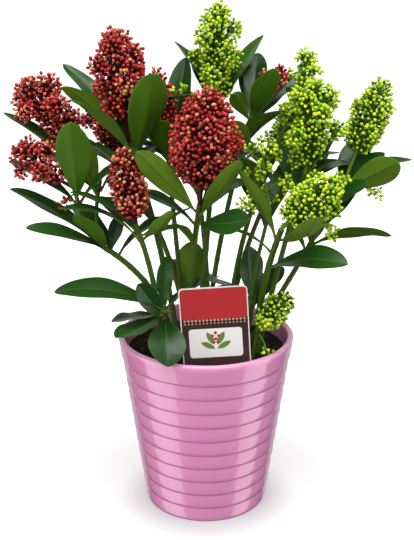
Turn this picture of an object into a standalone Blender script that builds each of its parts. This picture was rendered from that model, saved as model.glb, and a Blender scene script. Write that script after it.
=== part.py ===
"""Skimmia in a ribbed ceramic pot: a red-budded and a green-budded young shrub planted together.

Frame: origin at the centre of the pot's flat underside, +Z up, the plant label faces -Y.
The tables are in millimetres and degrees; a turn of 0 points to +X and a turn of 90 to +Y.
"""
import math
import random

import bmesh
import bpy
from mathutils import Matrix, Vector
from mathutils.bvhtree import BVHTree

MM = 0.001
GAP = 0.3 * MM              # clear space between two neighbouring solids
CLEAR = 0.45 * MM           # how much a piece is grown when it is tested against the others
GOLDEN = 137.5              # degrees from one branchlet or leaf to the next

# Pot and what fills it
RIM_RADIUS = 75.0
FOOT_RADIUS = 53.7
POT_HEIGHT = 154.3
WALL = 5.0
FLOOR = 8.0
RIM_BAND = 19.0             # height of the smooth band under the lip
RIBS = 10
RIB_DEPTH = 1.3
SOIL_LEVEL = 140.0
POT_SIDES = 28

# Plant label on its stake
LABEL_WIDE, LABEL_HIGH, LABEL_THICK = 55.0, 69.0, 1.0
LABEL_X, LABEL_Y, LABEL_BOTTOM = 9.5, -50.0, 143.5
LABEL_TILT = -3.6
STAKE_WIDE, STAKE_DEEP = 10.0, 34.0

# Leaf and bud sizes shared by every shoot
LEAF_THICK = 0.013          # share of the leaf's length, at the midrib
LEAF_FOLD = 0.22            # how far the halves rise from the midrib, share of half the width
STEM_SIDES = 5
BRANCH_RADIUS = 0.9
CORE_SHARE = {"red": 0.74, "green": 0.66}       # the solid middle of a flower cluster, share of its width
LOBE_SHARE = {"red": 0.165, "green": 0.152}     # radius of one group of buds, share of cluster width
LOBE_SIDES = 4

COLOURS = {
    "pot": ((0.70, 0.24, 0.45), 0.25), "soil": ((0.045, 0.025, 0.015), 0.95),
    "label": ((0.62, 0.20, 0.16), 0.45), "stem": ((0.23, 0.30, 0.09), 0.6),
    "leaves": ((0.06, 0.16, 0.035), 0.35), "red": ((0.45, 0.04, 0.05), 0.5),
    "green": ((0.42, 0.50, 0.12), 0.5),
}

# Each shoot: foot on the soil (x, y) or the shoot it grows from, elbow and top of the leafy stem,
# radius at foot and top, and the flower cluster (colour, turn, lean, length, width, bare share).
SHOOTS = {
    "left": ((-28, -14), (-31, -16, 203), (-87, -26, 241), 2.9, 2.2, None),
    "red_left": ("left", (-96, -31, 256), (-103, -33, 286), 1.9, 1.7, ("red", 181, 51, 56, 47, 0.22)),
    "red_far_left": ("left", (-92, -10, 262), (-86, -4, 287), 1.8, 1.6, ("red", 175, 37, 97, 58, 0.45)),
    "red_tall": ((-24, 2), (-34, -1, 225), (-60, -9, 320), 2.6, 2.1, ("red", 185, 7, 89, 57, 0.21)),
    "red_middle": ((-17, 9), (-25, 8, 230), (-32, 15, 311), 2.2, 1.8, ("red", 201, 7, 66, 27, 0.19)),
    "red_low": ((-37, -27), (-37, -29, 205), (-55, -47, 264), 2.5, 2.0, ("red", 187, 8, 60, 34, 0.06)),
    "red_front": ((-18, -20), (-15, -19, 200), (-5, -40, 277), 2.7, 2.2, ("red", 329, 5, 90, 63, 0.17)),
    "red_back": ((0, 14), (8, 26, 230), (39, 22, 342), 2.4, 1.8, ("red", 31, 44, 44, 28, 0.33)),
    "green_tall": ((-9, 2), (4, 12, 240), (7, 27, 347), 2.5, 1.9, ("green", 319, 3, 80, 54, 0.05)),
    "green_back": ((19, 12), (24, 20, 250), (76, 33, 345), 2.4, 1.8, ("green", 23, 13, 43, 38, 0.12)),
    "green_right": ((45, -3), (61, -13, 225), (79, -16, 297), 2.5, 1.9, ("green", 26, 7, 72, 60, 0.06)),
    "green_far_right": ((37, 8), (78, 5, 208), (114, 6, 285), 2.6, 1.9, ("green", 11, 20, 88, 40, 0.29)),
    "green_low": ((43, -15), (42, -21, 200), (59, -45, 258), 3.1, 2.4, ("green", 350, 46, 59, 47, 0.16)),
    "green_sparse": ((31, -4), (38, -5, 205), (51, -20, 265), 1.9, 1.5, ("green", 200, 8, 62, 46, 0.12)),
    "red_rear_left": ((-16, 28), (-28, 32, 225), (-72, 58, 285), 2.5, 1.9, ("red", 145, 24, 72, 50, 0.15)),
    "red_rear": ((2, 32), (2, 40, 215), (-8, 86, 262), 2.5, 1.9, ("red", 98, 30, 72, 50, 0.15)),
    "green_rear_right": ((20, 28), (28, 34, 220), (66, 70, 276), 2.5, 1.9, ("green", 48, 28, 74, 52, 0.15)),
}

# Leaves that the front shows: down the stem from its top, turn, rise, length, width, arch, roll.
LEAVES = {
    "left": [(8, 172, 31, 91, 21, .07, -10), (9, 245, 44, 57, 25, -.04, 0), (12, 206, 29, 82, 20, .07, -18),
             (12, 66, 59, 31, 13, 0, 0), (16, 135, 30, 60, 20, .08, 0), (18, 20, 38, 52, 18, .05, 0)],
    "red_left": [(8, 273, 66, 74, 27, -.04, 0), (11, 165, 29, 66, 22, .06, 0)],
    "red_far_left": [(8, 178, 43, 97, 22, .04, 0), (11, 247, 61, 61, 20, 0, 35)],
    "red_tall": [(8, 221, 41, 74, 27, .04, 0), (10, 294, 56, 83, 30, -.05, 0), (12, 201, 46, 81, 18, .12, 50),
                 (13, 160, 46, 108, 24, .04, 0), (80, 325, 39, 44, 16, .06, 0), (72, 150, 35, 58, 20, .08, 0)],
    "red_middle": [(8, 265, 52, 46, 24, -.05, 0), (10, 53, 75, 85, 27, 0, 0)],
    "red_low": [(8, 186, 33, 61, 19, .08, 0), (17, 197, 28, 70, 19, .12, 0), (10, 314, 37, 44, 20, -.16, 0),
                (15, 20, 12, 34, 14, .05, 0)],
    "red_front": [(8, 212, 46, 76, 20, .05, 60), (10, 311, 49, 69, 25, -.05, 0),
                  (17, 311, 15, 61, 21, -.04, 55), (38, 224, 46, 38, 13, .05, 0)],
    "red_back": [(8, 304, 58, 51, 29, -.05, 0), (10, 241, 41, 41, 13, .05, 50), (34, 303, 35, 69, 27, .08, 0),
                 (14, 30, 42, 57, 14, .04, 0), (44, 262, 48, 52, 22, -.04, 0)],
    "green_tall": [(8, 155, 59, 66, 22, .05, 0), (10, 217, 20, 64, 16, .08, 0), (12, 214, 35, 52, 15, .08, 0),
                   (9, 33, 52, 78, 25, .03, 0)],
    "green_back": [(8, 60, 50, 44, 20, .06, 0), (11, 330, 40, 40, 16, .05, 0), (84, 20, 66, 50, 25, 0, 0),
                   (88, 228, 62, 50, 24, .03, 0)],
    "green_right": [(8, 20, 27, 36, 19, .08, 0), (12, 318, 64, 40, 11, .04, 30), (15, 60, 30, 54, 20, .08, 0),
                    (22, 100, 40, 56, 20, .06, 0)],
    "green_far_right": [(8, 314, 29, 64, 24, .05, -70), (28, 330, 42, 46, 19, .06, 45),
                        (11, 16, 22, 70, 19, .08, 10), (9, 354, 42, 51, 19, .06, 25),
                        (60, 320, 17, 79, 17, .05, -35), (50, 345, 52, 56, 19, .04, 40),
                        (62, 290, 58, 44, 17, -.05, 0), (66, 226, 46, 42, 15, .06, 0)],
    "green_low": [(8, 297, 29, 61, 27, -.14, 0), (10, 211, 57, 73, 19, .03, 0), (38, 325, 14, 71, 28, .08, 22),
                  (23, 195, 22, 61, 14, .12, 0)],
    "green_sparse": [(9, 130, 45, 40, 14, .05, 0), (18, 70, 48, 50, 20, .05, 0)],
    "red_rear_left": [(8, 190, 35, 66, 22, .08, 0)],
    "red_rear": [(8, 20, 35, 62, 22, .08, 0)],
    "green_rear_right": [(8, 350, 30, 62, 21, .08, 0)],
}

# How many more leaves each shoot carries on the sides that the front hides.
FILLERS = {"left": 1, "red_left": 2, "red_far_left": 3, "red_tall": 4, "red_middle": 4, "red_low": 2,
           "red_front": 3, "red_back": 4, "green_tall": 4, "green_back": 4, "green_right": 3,
           "green_far_right": 3, "green_low": 0, "green_sparse": 1, "red_rear_left": 8, "red_rear": 8,
           "green_rear_right": 8}

# Short leafy shoots low in the pot: foot, top, radius, leaves as above.
LOW_SHOOTS = {
    "leaves_low_left": ((-33, -37), (-34, -39, 193), 2.2, [
        (4, 186, 12, 89, 24, .12, -24), (7, 226, -7, 52, 25, -.05, 0), (9, 205, 2, 45, 20, .05, 0),
        (10, 276, -34, 48, 30, .10, 0), (5, 277, 21, 33, 10, -.05, 0), (14, 179, 58, 42, 19, .03, -65),
        (4, 23, 42, 31, 10, 0, 0), (7, 94, 80, 54, 16, 0, 0)]),
    "leaves_low_right": ((35, 17), (42, 13, 182), 2.2, [
        (6, 206, 31, 58, 20, .08, 0), (9, 110, 80, 56, 27, 0, 0), (11, 84, 20, 50, 21, .10, 0),
        (13, 60, 35, 56, 20, .06, 0)]),
    "leaves_low_rear": ((-14, 42), (-18, 46, 178), 2.2, [
        (10, 268, 64, 74, 26, .03, 0), (6, 60, 2, 54, 22, .10, 0), (9, 96, 15, 66, 23, .10, 0),
        (12, 80, 44, 60, 21, .06, 0), (8, 122, 30, 52, 20, .08, 0), (14, 12, 8, 54, 20, .08, 0)]),
}

# The small open spray that leans over the soil beside the label: foot, top, cluster.
LOW_SPRAY = ((38, -29), (42, -30, 167), 1.6, ("green", 352, 38, 43, 30, 0.12))


def direction(turn, rise):
    t, r = math.radians(turn), math.radians(rise)
    return Vector((math.cos(r) * math.cos(t), math.cos(r) * math.sin(t), math.sin(r)))


def bend(start, elbow, end, count):
    """Evenly spaced points on one smooth curve."""
    fine = []
    for i in range(61):
        t = i / 60
        fine.append(start * (1 - t) ** 2 + elbow * (2 * t * (1 - t)) + end * t ** 2)
    run = [0.0]
    for a, b in zip(fine, fine[1:]):
        run.append(run[-1] + (b - a).length)
    points = []
    for i in range(count + 1):
        want = run[-1] * i / count
        k = min(max(j for j in range(61) if run[j] <= want + 1e-12), 59)
        share = (want - run[k]) / (run[k + 1] - run[k])
        points.append(fine[k].lerp(fine[k + 1], share))
    return points, run[-1]


def tube(points, radii, sides, flat_foot=False):
    """A tapering limb with flat ends; flat_foot cuts its first end level."""
    verts, faces = [], []
    for i, p in enumerate(points):
        ahead = points[min(i + 1, len(points) - 1)] - points[max(i - 1, 0)]
        if flat_foot and i == 0:
            ahead = Vector((0, 0, 1))
        ahead.normalize()
        u = ahead.orthogonal() if abs(ahead.z) < 0.2 else ahead.cross(Vector((0, 1, 0))).normalized()
        u.normalize()
        v = ahead.cross(u)
        for k in range(sides):
            a = math.tau * (k + 0.25) / sides
            verts.append(p + (u * math.cos(a) + v * math.sin(a)) * radii[i])
    for i in range(len(points) - 1):
        for k in range(sides):
            m = (k + 1) % sides
            faces.append((i * sides + k, i * sides + m, (i + 1) * sides + m, (i + 1) * sides + k))
    faces.append(tuple(reversed(range(sides))))
    faces.append(tuple(range((len(points) - 1) * sides, len(points) * sides)))
    return verts, faces


def leaf(base, turn, rise, length, width, arch, roll, grow=0.0, outer=False):
    """One folded blade on a short stalk, pointed at both ends and thickest along its midrib."""
    d = direction(turn, rise)
    up = direction(turn, rise + 90)
    spin = Matrix.Rotation(math.radians(roll), 3, d)
    n = spin @ up
    s = d.cross(n)
    long, half = length * MM, width * MM / 2
    thick = LEAF_THICK * long
    rows = ((0.25, 0.50, 1.1), (0.36, 0.80, 1.0)) if outer else ((0.10, 0.10, 1.3), (0.34, 0.76, 1.0))
    verts = [base + d * long * 0.20 if outer else base - d * grow]
    for t, wide, deep in (*rows, (0.60, 1.0, 0.9), (0.84, 0.66, 0.7)):
        c = base + d * long * t + n * (arch * long * 4 * t * (1 - t))
        h = half * wide + grow
        lift = n * (LEAF_FOLD * half * wide)
        rib = n * (thick * deep / 2 + grow)
        verts += [c - s * h + lift, c + rib, c + s * h + lift, c - rib]
    verts.append(base + d * (long + grow))
    faces = [(0, 1 + (k + 1) % 4, 1 + k) for k in range(4)]
    for r in (1, 5, 9):
        for k in range(4):
            m = (k + 1) % 4
            faces += [(r + k, r + m, r + 4 + m), (r + k, r + 4 + m, r + 4 + k)]
    faces += [(13 + k, 13 + (k + 1) % 4, 17) for k in range(4)]
    return verts, faces


def drop(centre, radius, axis, stretch, sides, spin):
    """A bud, or a group of buds, as a drop with one ring of corners."""
    u = (Matrix.Rotation(spin, 3, axis) @ axis.orthogonal()).normalized()
    v = axis.cross(u)
    verts = [centre + axis * radius * stretch, centre - axis * radius * stretch]
    for k in range(sides):
        a = math.tau * k / sides
        verts.append(centre + (u * math.cos(a) + v * math.sin(a)) * radius)
    faces = [(0, 2 + k, 2 + (k + 1) % sides) for k in range(sides)]
    faces += [(1, 2 + (k + 1) % sides, 2 + k) for k in range(sides)]
    return verts, faces


class Room:
    """Keeps every placed piece, so that the next one stays clear of the other solids."""

    def __init__(self):
        self.taken = []

    @staticmethod
    def bounds(verts):
        return [(min(v[i] for v in verts), max(v[i] for v in verts)) for i in range(3)]

    def add(self, node, piece):
        verts, faces = piece
        self.taken.append((node, self.bounds(verts), BVHTree.FromPolygons(verts, faces)))

    def touches(self, node, piece):
        """Whether the piece meets a solid of another node."""
        verts, faces = piece
        box = self.bounds(verts)
        tree = None
        for other, room, there in self.taken:
            if other.split()[0] == node or any(a[0] > b[1] or b[0] > a[1] for a, b in zip(box, room)):
                continue
            tree = tree or BVHTree.FromPolygons(verts, faces)
            if tree.overlap(there):
                return True
        return False

    def crosses(self, node, piece):
        """Whether the piece runs through another leaf of its own shoot."""
        verts, faces = piece
        box, tree = self.bounds(verts), BVHTree.FromPolygons(verts, faces)
        for other, room, there in self.taken:
            if other == node + " leaf" and all(a[0] < b[1] and b[0] < a[1] for a, b in zip(box, room)):
                if tree.overlap(there):
                    return True
        return False


def lathe(profile, sides):
    """A turned solid from (radius, height) pairs that start and end on the axis."""
    verts, faces = [Vector((0, 0, profile[0][1]))], []
    for radius, height in profile[1:-1]:
        for k in range(sides):
            a = math.tau * k / sides
            verts.append(Vector((radius * math.cos(a), radius * math.sin(a), height)))
    verts.append(Vector((0, 0, profile[-1][1])))
    rings = len(profile) - 2
    for k in range(sides):
        m = (k + 1) % sides
        faces.append((0, 1 + m, 1 + k))
        for i in range(rings - 1):
            a, b = 1 + i * sides, 1 + (i + 1) * sides
            faces.append((a + k, a + m, b + m, b + k))
        last = 1 + (rings - 1) * sides
        faces.append((last + k, last + m, len(verts) - 1))
    return verts, faces


def outer_radius(height):
    """The pot's straight taper, without its ribs."""
    return (FOOT_RADIUS + (RIM_RADIUS - FOOT_RADIUS) * height / POT_HEIGHT) * MM


def pot_piece():
    band = POT_HEIGHT - RIM_BAND
    profile = [(0, 0), (outer_radius(0) - 1.5 * MM, 0), (outer_radius(0.8), 0.8 * MM)]
    for k in range(RIBS):
        low, high = band * k / RIBS, band * (k + 1) / RIBS
        middle = (low + high) / 2
        profile.append((outer_radius(middle), middle * MM))
        profile.append((outer_radius(high) - RIB_DEPTH * MM, high * MM))
    profile += [(outer_radius(band + 1.5) + 0.6 * MM, (band + 1.5) * MM),
                (outer_radius(POT_HEIGHT - 2) + 0.4 * MM, (POT_HEIGHT - 2) * MM),
                (outer_radius(POT_HEIGHT) - 1.4 * MM, POT_HEIGHT * MM),
                (outer_radius(POT_HEIGHT) - (WALL - 0.8) * MM, (POT_HEIGHT - 0.4) * MM),
                (outer_radius(POT_HEIGHT - 3) - WALL * MM, (POT_HEIGHT - 3) * MM),
                (outer_radius(FLOOR) - WALL * MM, FLOOR * MM), (0, FLOOR * MM)]
    return lathe(profile, POT_SIDES)


def soil_piece():
    low, top = FLOOR * MM + GAP, SOIL_LEVEL * MM
    shrink = WALL * MM + GAP
    return lathe([(0, low), (outer_radius(low / MM) - shrink - GAP, low),
                  (outer_radius(SOIL_LEVEL) - shrink - GAP, top), (0, top)], POT_SIDES)


def label_piece():
    """A thin card with cut corners on a pointed stake, one outline pushed to its thickness."""
    w, h, cut, sw = LABEL_WIDE / 2, LABEL_HIGH, 3.0, STAKE_WIDE / 2
    outline = [(-w + 1, 0), (-sw, 0), (-sw + 1, -STAKE_DEEP + 6), (0, -STAKE_DEEP), (sw - 1, -STAKE_DEEP + 6),
               (sw, 0), (w - 1, 0), (w, 1), (w, h - cut), (w - 0.9, h - 0.9), (w - cut, h), (-w + cut, h),
               (-w + 0.9, h - 0.9), (-w, h - cut), (-w, 1)]
    place = (Matrix.Translation(Vector((LABEL_X, LABEL_Y, LABEL_BOTTOM)) * MM)
             @ Matrix.Rotation(math.radians(LABEL_TILT), 4, "Y"))
    count = len(outline)
    verts = [place @ (Vector((x, y, z)) * MM) for y in (-LABEL_THICK / 2, LABEL_THICK / 2) for x, z in outline]
    faces = [tuple(range(count)), tuple(reversed(range(count, 2 * count)))]
    faces += [((k + 1) % count, k, k + count, (k + 1) % count + count) for k in range(count)]
    return verts, faces


def slot_piece():
    """The slot that the label's stake leaves in the soil."""
    x, y, z = STAKE_WIDE / 2 + 0.4, LABEL_THICK / 2 + 0.4, STAKE_DEEP + 1
    place = (Matrix.Translation(Vector((LABEL_X, LABEL_Y, LABEL_BOTTOM)) * MM)
             @ Matrix.Rotation(math.radians(LABEL_TILT), 4, "Y"))
    corners = [(i, j, k) for k in (-z, 5) for i, j in ((-x, -y), (x, -y), (x, y), (-x, y))]
    verts = [place @ (Vector(c) * MM) for c in corners]
    faces = [(3, 2, 1, 0), (4, 5, 6, 7)] + [(k, (k + 1) % 4, (k + 1) % 4 + 4, k + 4) for k in range(4)]
    return verts, faces


def material(kind):
    colour, rough = COLOURS[kind]
    found = bpy.data.materials.get(kind)
    if found:
        return found
    made = bpy.data.materials.new(kind)
    made.use_nodes = True
    shader = made.node_tree.nodes["Principled BSDF"]
    shader.inputs["Base Color"].default_value = (*colour, 1.0)
    shader.inputs["Roughness"].default_value = rough
    shader.inputs["Metallic"].default_value = 0.0
    return made


def make_object(name, piece, kind, collection=None):
    verts, faces = piece
    mesh = bpy.data.meshes.new(name)
    mesh.from_pydata(verts, [], faces)
    bm = bmesh.new()
    bm.from_mesh(mesh)
    bmesh.ops.recalc_face_normals(bm, faces=bm.faces)
    bm.to_mesh(mesh)
    bm.free()
    obj = bpy.data.objects.new(name, mesh)
    (collection or bpy.context.scene.collection).objects.link(obj)
    if kind:
        mesh.materials.append(material(kind))
    return obj


def keep_body(mesh):
    """Drops loose scraps and the walls of sealed hollows, so that one closed body is left."""
    bm = bmesh.new()
    bm.from_mesh(mesh)
    bm.faces.ensure_lookup_table()
    seen, groups = set(), []
    for face in bm.faces:
        if face.index in seen:
            continue
        seen.add(face.index)
        stack, group = [face], []
        while stack:
            one = stack.pop()
            group.append(one)
            for edge in one.edges:
                for near in edge.link_faces:
                    if near.index not in seen:
                        seen.add(near.index)
                        stack.append(near)
        groups.append(group)
    groups.sort(key=len)
    bmesh.ops.delete(bm, geom=[f for group in groups[:-1] for f in group], context="FACES")
    bmesh.ops.triangulate(bm, faces=bm.faces)
    bmesh.ops.recalc_face_normals(bm, faces=bm.faces)
    bm.to_mesh(mesh)
    bm.free()


def fuse(name, pieces, kind):
    """One Boolean union of a mass's own stem with everything that grows on it."""
    obj = make_object(name, pieces[0], kind)
    if len(pieces) > 1:
        parts = bpy.data.collections.new("parts")
        bpy.context.scene.collection.children.link(parts)
        for i, piece in enumerate(pieces[1:]):
            make_object("piece%d" % i, piece, None, parts)
        union = obj.modifiers.new("union", "BOOLEAN")
        union.operation = "UNION"
        union.operand_type = "COLLECTION"
        union.collection = parts
        union.solver = "EXACT"
        joined = bpy.data.meshes.new_from_object(obj.evaluated_get(bpy.context.evaluated_depsgraph_get()))
        obj.modifiers.clear()
        obj.data = joined
        joined.materials.clear()
        joined.materials.append(material(kind))
        for part in list(parts.objects):
            bpy.data.objects.remove(part)
        bpy.data.collections.remove(parts)
    keep_body(obj.data)
    return obj


def try_leaf(room, node, base, row, out):
    """Places a leaf where it is clear of the other solids, a little turned if need be, or skips it."""
    turn, rise, length, width, arch, roll = row
    for step in range(13):
        swing = (step % 5 + 1) // 2 * (6 if step % 2 else -6)
        pitch = (0, -7, 8)[step // 5]
        shrink = 1 - 0.02 * step
        args = (base, turn + swing, rise + pitch, length * shrink, width * shrink, arch, roll)
        if room.touches(node, leaf(*args, grow=CLEAR)) or room.crosses(node, leaf(*args, outer=True)):
            continue
        piece = leaf(*args)
        room.add(node, piece)
        room.add(node + " leaf", leaf(*args, outer=True))
        out.append(piece)
        return


def egg(share):
    """The flower cluster's outline: its half width at a share of its height, widest below the middle."""
    return math.sqrt(max(0.0, 1 - (2 * share ** 0.82 - 1) ** 2))


def core(low, axis, height, half, grow=0.0):
    """The crowded middle of a flower cluster."""
    u = axis.orthogonal().normalized()
    v = axis.cross(u)
    verts, faces, sides = [low - axis * grow], [], 6
    for share in (0.16, 0.42, 0.68, 0.88):
        for k in range(sides):
            a = math.tau * (k + share) / sides
            out = (u * math.cos(a) + v * math.sin(a)) * (half * egg(share) + grow)
            verts.append(low + axis * height * share + out)
    verts.append(low + axis * (height + grow))
    faces += [(0, 1 + (k + 1) % sides, 1 + k) for k in range(sides)]
    for i in range(3):
        for k in range(sides):
            m = (k + 1) % sides
            a, b = 1 + i * sides, 1 + (i + 1) * sides
            faces += [(a + k, a + m, b + m), (a + k, b + m, b + k)]
    faces += [(1 + 3 * sides + k, 1 + 3 * sides + (k + 1) % sides, len(verts) - 1) for k in range(sides)]
    return verts, faces


def grow_cluster(room, node, base, cluster, rng, out):
    """A crowded core with groups of buds standing out of it by the golden angle, on short twigs."""
    colour, turn, lean, length, width, bare = cluster
    axis = direction(turn, 90 - lean)
    low = base + axis * (bare * length * MM)
    height, half = length * (1 - bare) * MM, width / 2 * MM
    middle_share = 0.0
    for share in (1.0, 0.8, 0.6, 0.4):
        reach = CORE_SHARE[colour] * share
        if not room.touches(node, core(low, axis, height * (0.9 + 0.02 * share), half * reach, CLEAR)):
            middle = core(low, axis, height * (0.9 + 0.02 * share), half * reach)
            room.add(node, middle)
            out.append(middle)
            middle_share = reach
            break
    side = axis.orthogonal().normalized()
    size = max(LOBE_SHARE[colour] * width, 4.0) * MM
    count = round(height / MM * width / 480) + 4
    begin = rng.uniform(0, 360)
    for i in range(count + 1):
        top, share = i == count, (i + 0.5) / count
        spin = rng.uniform(0, math.tau)
        lobe = size * rng.uniform(0.85, 1.1)
        lift = math.radians(-12 + 74 * share)
        around = Matrix.Rotation(math.radians(begin + GOLDEN * i), 3, axis)
        ray = axis if top else (around @ side) * math.cos(lift) + axis * math.sin(lift)
        root = low + axis * height * (0.80 if top else 0.08 + 0.78 * share)
        reach = height * 0.2 if top else max(half * egg(min(share, 0.93)), lobe * 1.2)
        spot = root + ray * (reach - lobe)
        for small in (1.0, 0.75, 0.55):
            if not room.touches(node, drop(spot, lobe * small + CLEAR, ray, 1.1, LOBE_SIDES, spin)):
                break
        else:
            continue
        pieces = [drop(spot, lobe * small, ray, 1.1, LOBE_SIDES, spin)]
        if not top:
            if room.touches(node, tube([root, spot], [BRANCH_RADIUS * MM + CLEAR] * 2, 3)):
                continue
            if (spot - root).length - lobe * small * 0.7 > half * middle_share * egg(min(share, 0.93)) * 0.85:
                pieces.append(tube([root, spot], [BRANCH_RADIUS * MM] * 2, 3))
        for piece in pieces:
            room.add(node, piece)
        out += pieces


def stem_between(points, total, r_foot, r_top, a, b, count, flat_foot=False):
    """The tapering stretch of a stem between two lengths along it."""
    def at(length):
        place = min(max(length / total, 0.0), 1.0) * (len(points) - 1)
        k = min(int(place), len(points) - 2)
        return points[k].lerp(points[k + 1], place - k)
    marks = [a + (b - a) * i / count for i in range(count + 1)]
    radii = [(r_foot + (r_top - r_foot) * m / total) * MM for m in marks]
    if flat_foot:
        radii[0] *= 1.35
    return tube([at(m) for m in marks], radii, STEM_SIDES, flat_foot), at


def build():
    for old in list(bpy.data.objects):
        bpy.data.objects.remove(old)
    room = Room()
    for name, piece in (("pot", pot_piece()), ("soil", soil_piece()), ("label", label_piece())):
        obj = make_object(name, piece, name)
        room.add(name, piece)
        if name == "soil":
            cutter = make_object("label_slot", slot_piece(), None)
            cutter.hide_render = True
            cutter.display_type = "WIRE"
            cut = obj.modifiers.new("slot", "BOOLEAN")
            cut.operation = "DIFFERENCE"
            cut.object = cutter
            cut.solver = "EXACT"

    ground = SOIL_LEVEL * MM + GAP
    masses, tops = {}, {}
    for name, (foot, elbow, top, r_foot, r_top, cluster) in SHOOTS.items():
        end = Vector(top) * MM
        if isinstance(foot, str):
            parent_end, parent_at, parent_total = tops[foot]
            fork = parent_at(parent_total - 5 * MM)
            toward = (Vector(elbow) * MM - fork).normalized()
            start = fork + toward * (12 * MM)
            arm = tube([fork, start], [r_foot * MM * 1.05, r_foot * MM], STEM_SIDES)
            masses["leaves_" + foot][1].append(arm)
            room.add("leaves_" + foot, arm)
            start = start + toward * GAP
        else:
            start = Vector((foot[0] * MM, foot[1] * MM, ground))
        points, total = bend(start, Vector(elbow) * MM, end, 40)
        enter = total - (max(row[0] for row in LEAVES[name]) + 6) * MM
        limb, at = stem_between(points, total, r_foot, r_top, 0, enter - GAP, 5, not isinstance(foot, str))
        stub, at = stem_between(points, total, r_foot, r_top, enter, total, 3)
        tops[name] = (end, at, total)
        room.add("stem_" + name, limb)
        room.add("leaves_" + name, stub)
        make_object("stem_" + name, limb, "stem")
        masses["leaves_" + name] = ("leaves", [stub])
        if cluster:
            colour, turn, lean, length, width, bare = cluster
            axis = direction(turn, 90 - lean)
            heading = (at(total) - at(total - 4 * MM)).normalized()
            low = end + heading * GAP
            line = [low, low + heading * (2 * MM), end + axis * length * 0.5 * MM,
                    end + axis * (length - 6) * MM]
            rachis = tube(line, [r_top * 0.9 * MM, r_top * 0.85 * MM, r_top * 0.75 * MM, 0.9 * MM], 4)
            node = "buds_" + name
            room.add(node, rachis)
            masses[node] = (colour, [rachis])
    for name, (foot, top, radius, rows) in LOW_SHOOTS.items():
        start = Vector((foot[0] * MM, foot[1] * MM, ground))
        end = Vector(top) * MM
        stub = tube([start, start.lerp(end, 0.5), end], [radius * 1.3 * MM, radius * MM, radius * 0.8 * MM],
                    STEM_SIDES, True)
        room.add(name, stub)
        masses[name] = ("leaves", [stub])
    foot, top, radius, cluster = LOW_SPRAY
    start, end = Vector((foot[0] * MM, foot[1] * MM, ground)), Vector(top) * MM
    axis = direction(cluster[1], 90 - cluster[2])
    line = tube([start, start.lerp(end, 0.5), end, end + axis * (cluster[3] - 5) * MM],
                [radius * 1.3 * MM, radius * MM, radius * 0.8 * MM, 0.8 * MM], 4, True)
    room.add("spray_low", line)
    masses["spray_low"] = (cluster[0], [line])

    rng = random.Random(41)
    for name, rows in LEAVES.items():
        node = "leaves_" + name
        end, at, total = tops[name]
        for row in rows:
            base = at(total - row[0] * MM) + direction(row[1], 0) * (0.5 * MM)
            try_leaf(room, node, base, row[1:], masses[node][1])
    for name, (foot, top, radius, rows) in LOW_SHOOTS.items():
        start, end = Vector((foot[0] * MM, foot[1] * MM, ground)), Vector(top) * MM
        along = (start - end).normalized()
        for row in rows:
            base = end + along * (row[0] * MM) + direction(row[1], 0) * (0.5 * MM)
            try_leaf(room, name, base, row[1:], masses[name][1])
    for name, (foot, elbow, top, r_foot, r_top, cluster) in SHOOTS.items():
        if cluster:
            node = "buds_" + name
            grow_cluster(room, node, Vector(top) * MM, cluster, rng, masses[node][1])
    grow_cluster(room, "spray_low", Vector(LOW_SPRAY[1]) * MM, LOW_SPRAY[3], rng, masses["spray_low"][1])
    for name, count in FILLERS.items():
        node = "leaves_" + name
        end, at, total = tops[name]
        deepest = max(row[0] for row in LEAVES[name])
        begin = rng.uniform(0, 360)
        for i in range(count):
            down = 7 + (min(deepest, 20) - 7) * (i + 0.5) / count
            turn = 15 + (begin + GOLDEN * i) % 150 if "rear" not in name else (begin + GOLDEN * i) % 360
            rise, length, width = rng.uniform(18, 52), rng.uniform(56, 74), rng.uniform(19, 25)
            row = (turn, rise, length, width, rng.uniform(.04, .10), 0)
            base = at(total - down * MM) + direction(turn, 0) * (0.5 * MM)
            try_leaf(room, node, base, row, masses[node][1])
    for node, (kind, pieces) in masses.items():
        fuse(node, pieces, kind)


build()
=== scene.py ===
"""Looks of a skimmia in a ribbed pot: red and green panicles of closed buds over glossy leaves.

The shoots, leaves and flower clusters grow by the same rule as the solids, from the same sizes, and are
then carried on to single blades, twigs and buds. Sizes in the tables are millimetres and degrees, a turn
of 0 points to +X and a turn of 90 to +Y, and the plant label faces -Y.
"""
import functools
import itertools
import math
import random
from types import SimpleNamespace

import bpy
import numpy as np
from mathutils import Matrix, Vector, noise
from mathutils.bvhtree import BVHTree


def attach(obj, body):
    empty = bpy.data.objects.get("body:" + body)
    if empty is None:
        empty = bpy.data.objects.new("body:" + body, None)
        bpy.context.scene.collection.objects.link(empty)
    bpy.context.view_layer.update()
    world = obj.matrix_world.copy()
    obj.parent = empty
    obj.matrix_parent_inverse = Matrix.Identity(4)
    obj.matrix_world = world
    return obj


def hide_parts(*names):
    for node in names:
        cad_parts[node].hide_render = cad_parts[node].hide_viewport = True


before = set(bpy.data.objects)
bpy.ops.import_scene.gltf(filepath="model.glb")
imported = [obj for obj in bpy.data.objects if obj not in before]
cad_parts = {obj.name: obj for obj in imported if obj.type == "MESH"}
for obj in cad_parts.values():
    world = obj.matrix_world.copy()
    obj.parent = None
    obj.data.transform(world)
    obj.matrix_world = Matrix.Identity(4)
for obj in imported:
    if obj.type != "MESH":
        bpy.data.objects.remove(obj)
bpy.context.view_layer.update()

bl_info = {
    "name": "Potted Skimmia",
    "version": (1, 0, 0),
    "blender": (4, 5, 0),
    "location": "3D View > Sidebar > Skimmia",
    "description": "Leaves, bud panicles, stems, soil, label and glazed pot of a potted skimmia",
    "category": "Add Mesh",
}

MM = 0.001
GAP = 0.3 * MM
CLEAR = 0.45 * MM
GOLDEN = 137.5              # degrees from one branchlet or leaf to the next

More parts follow.
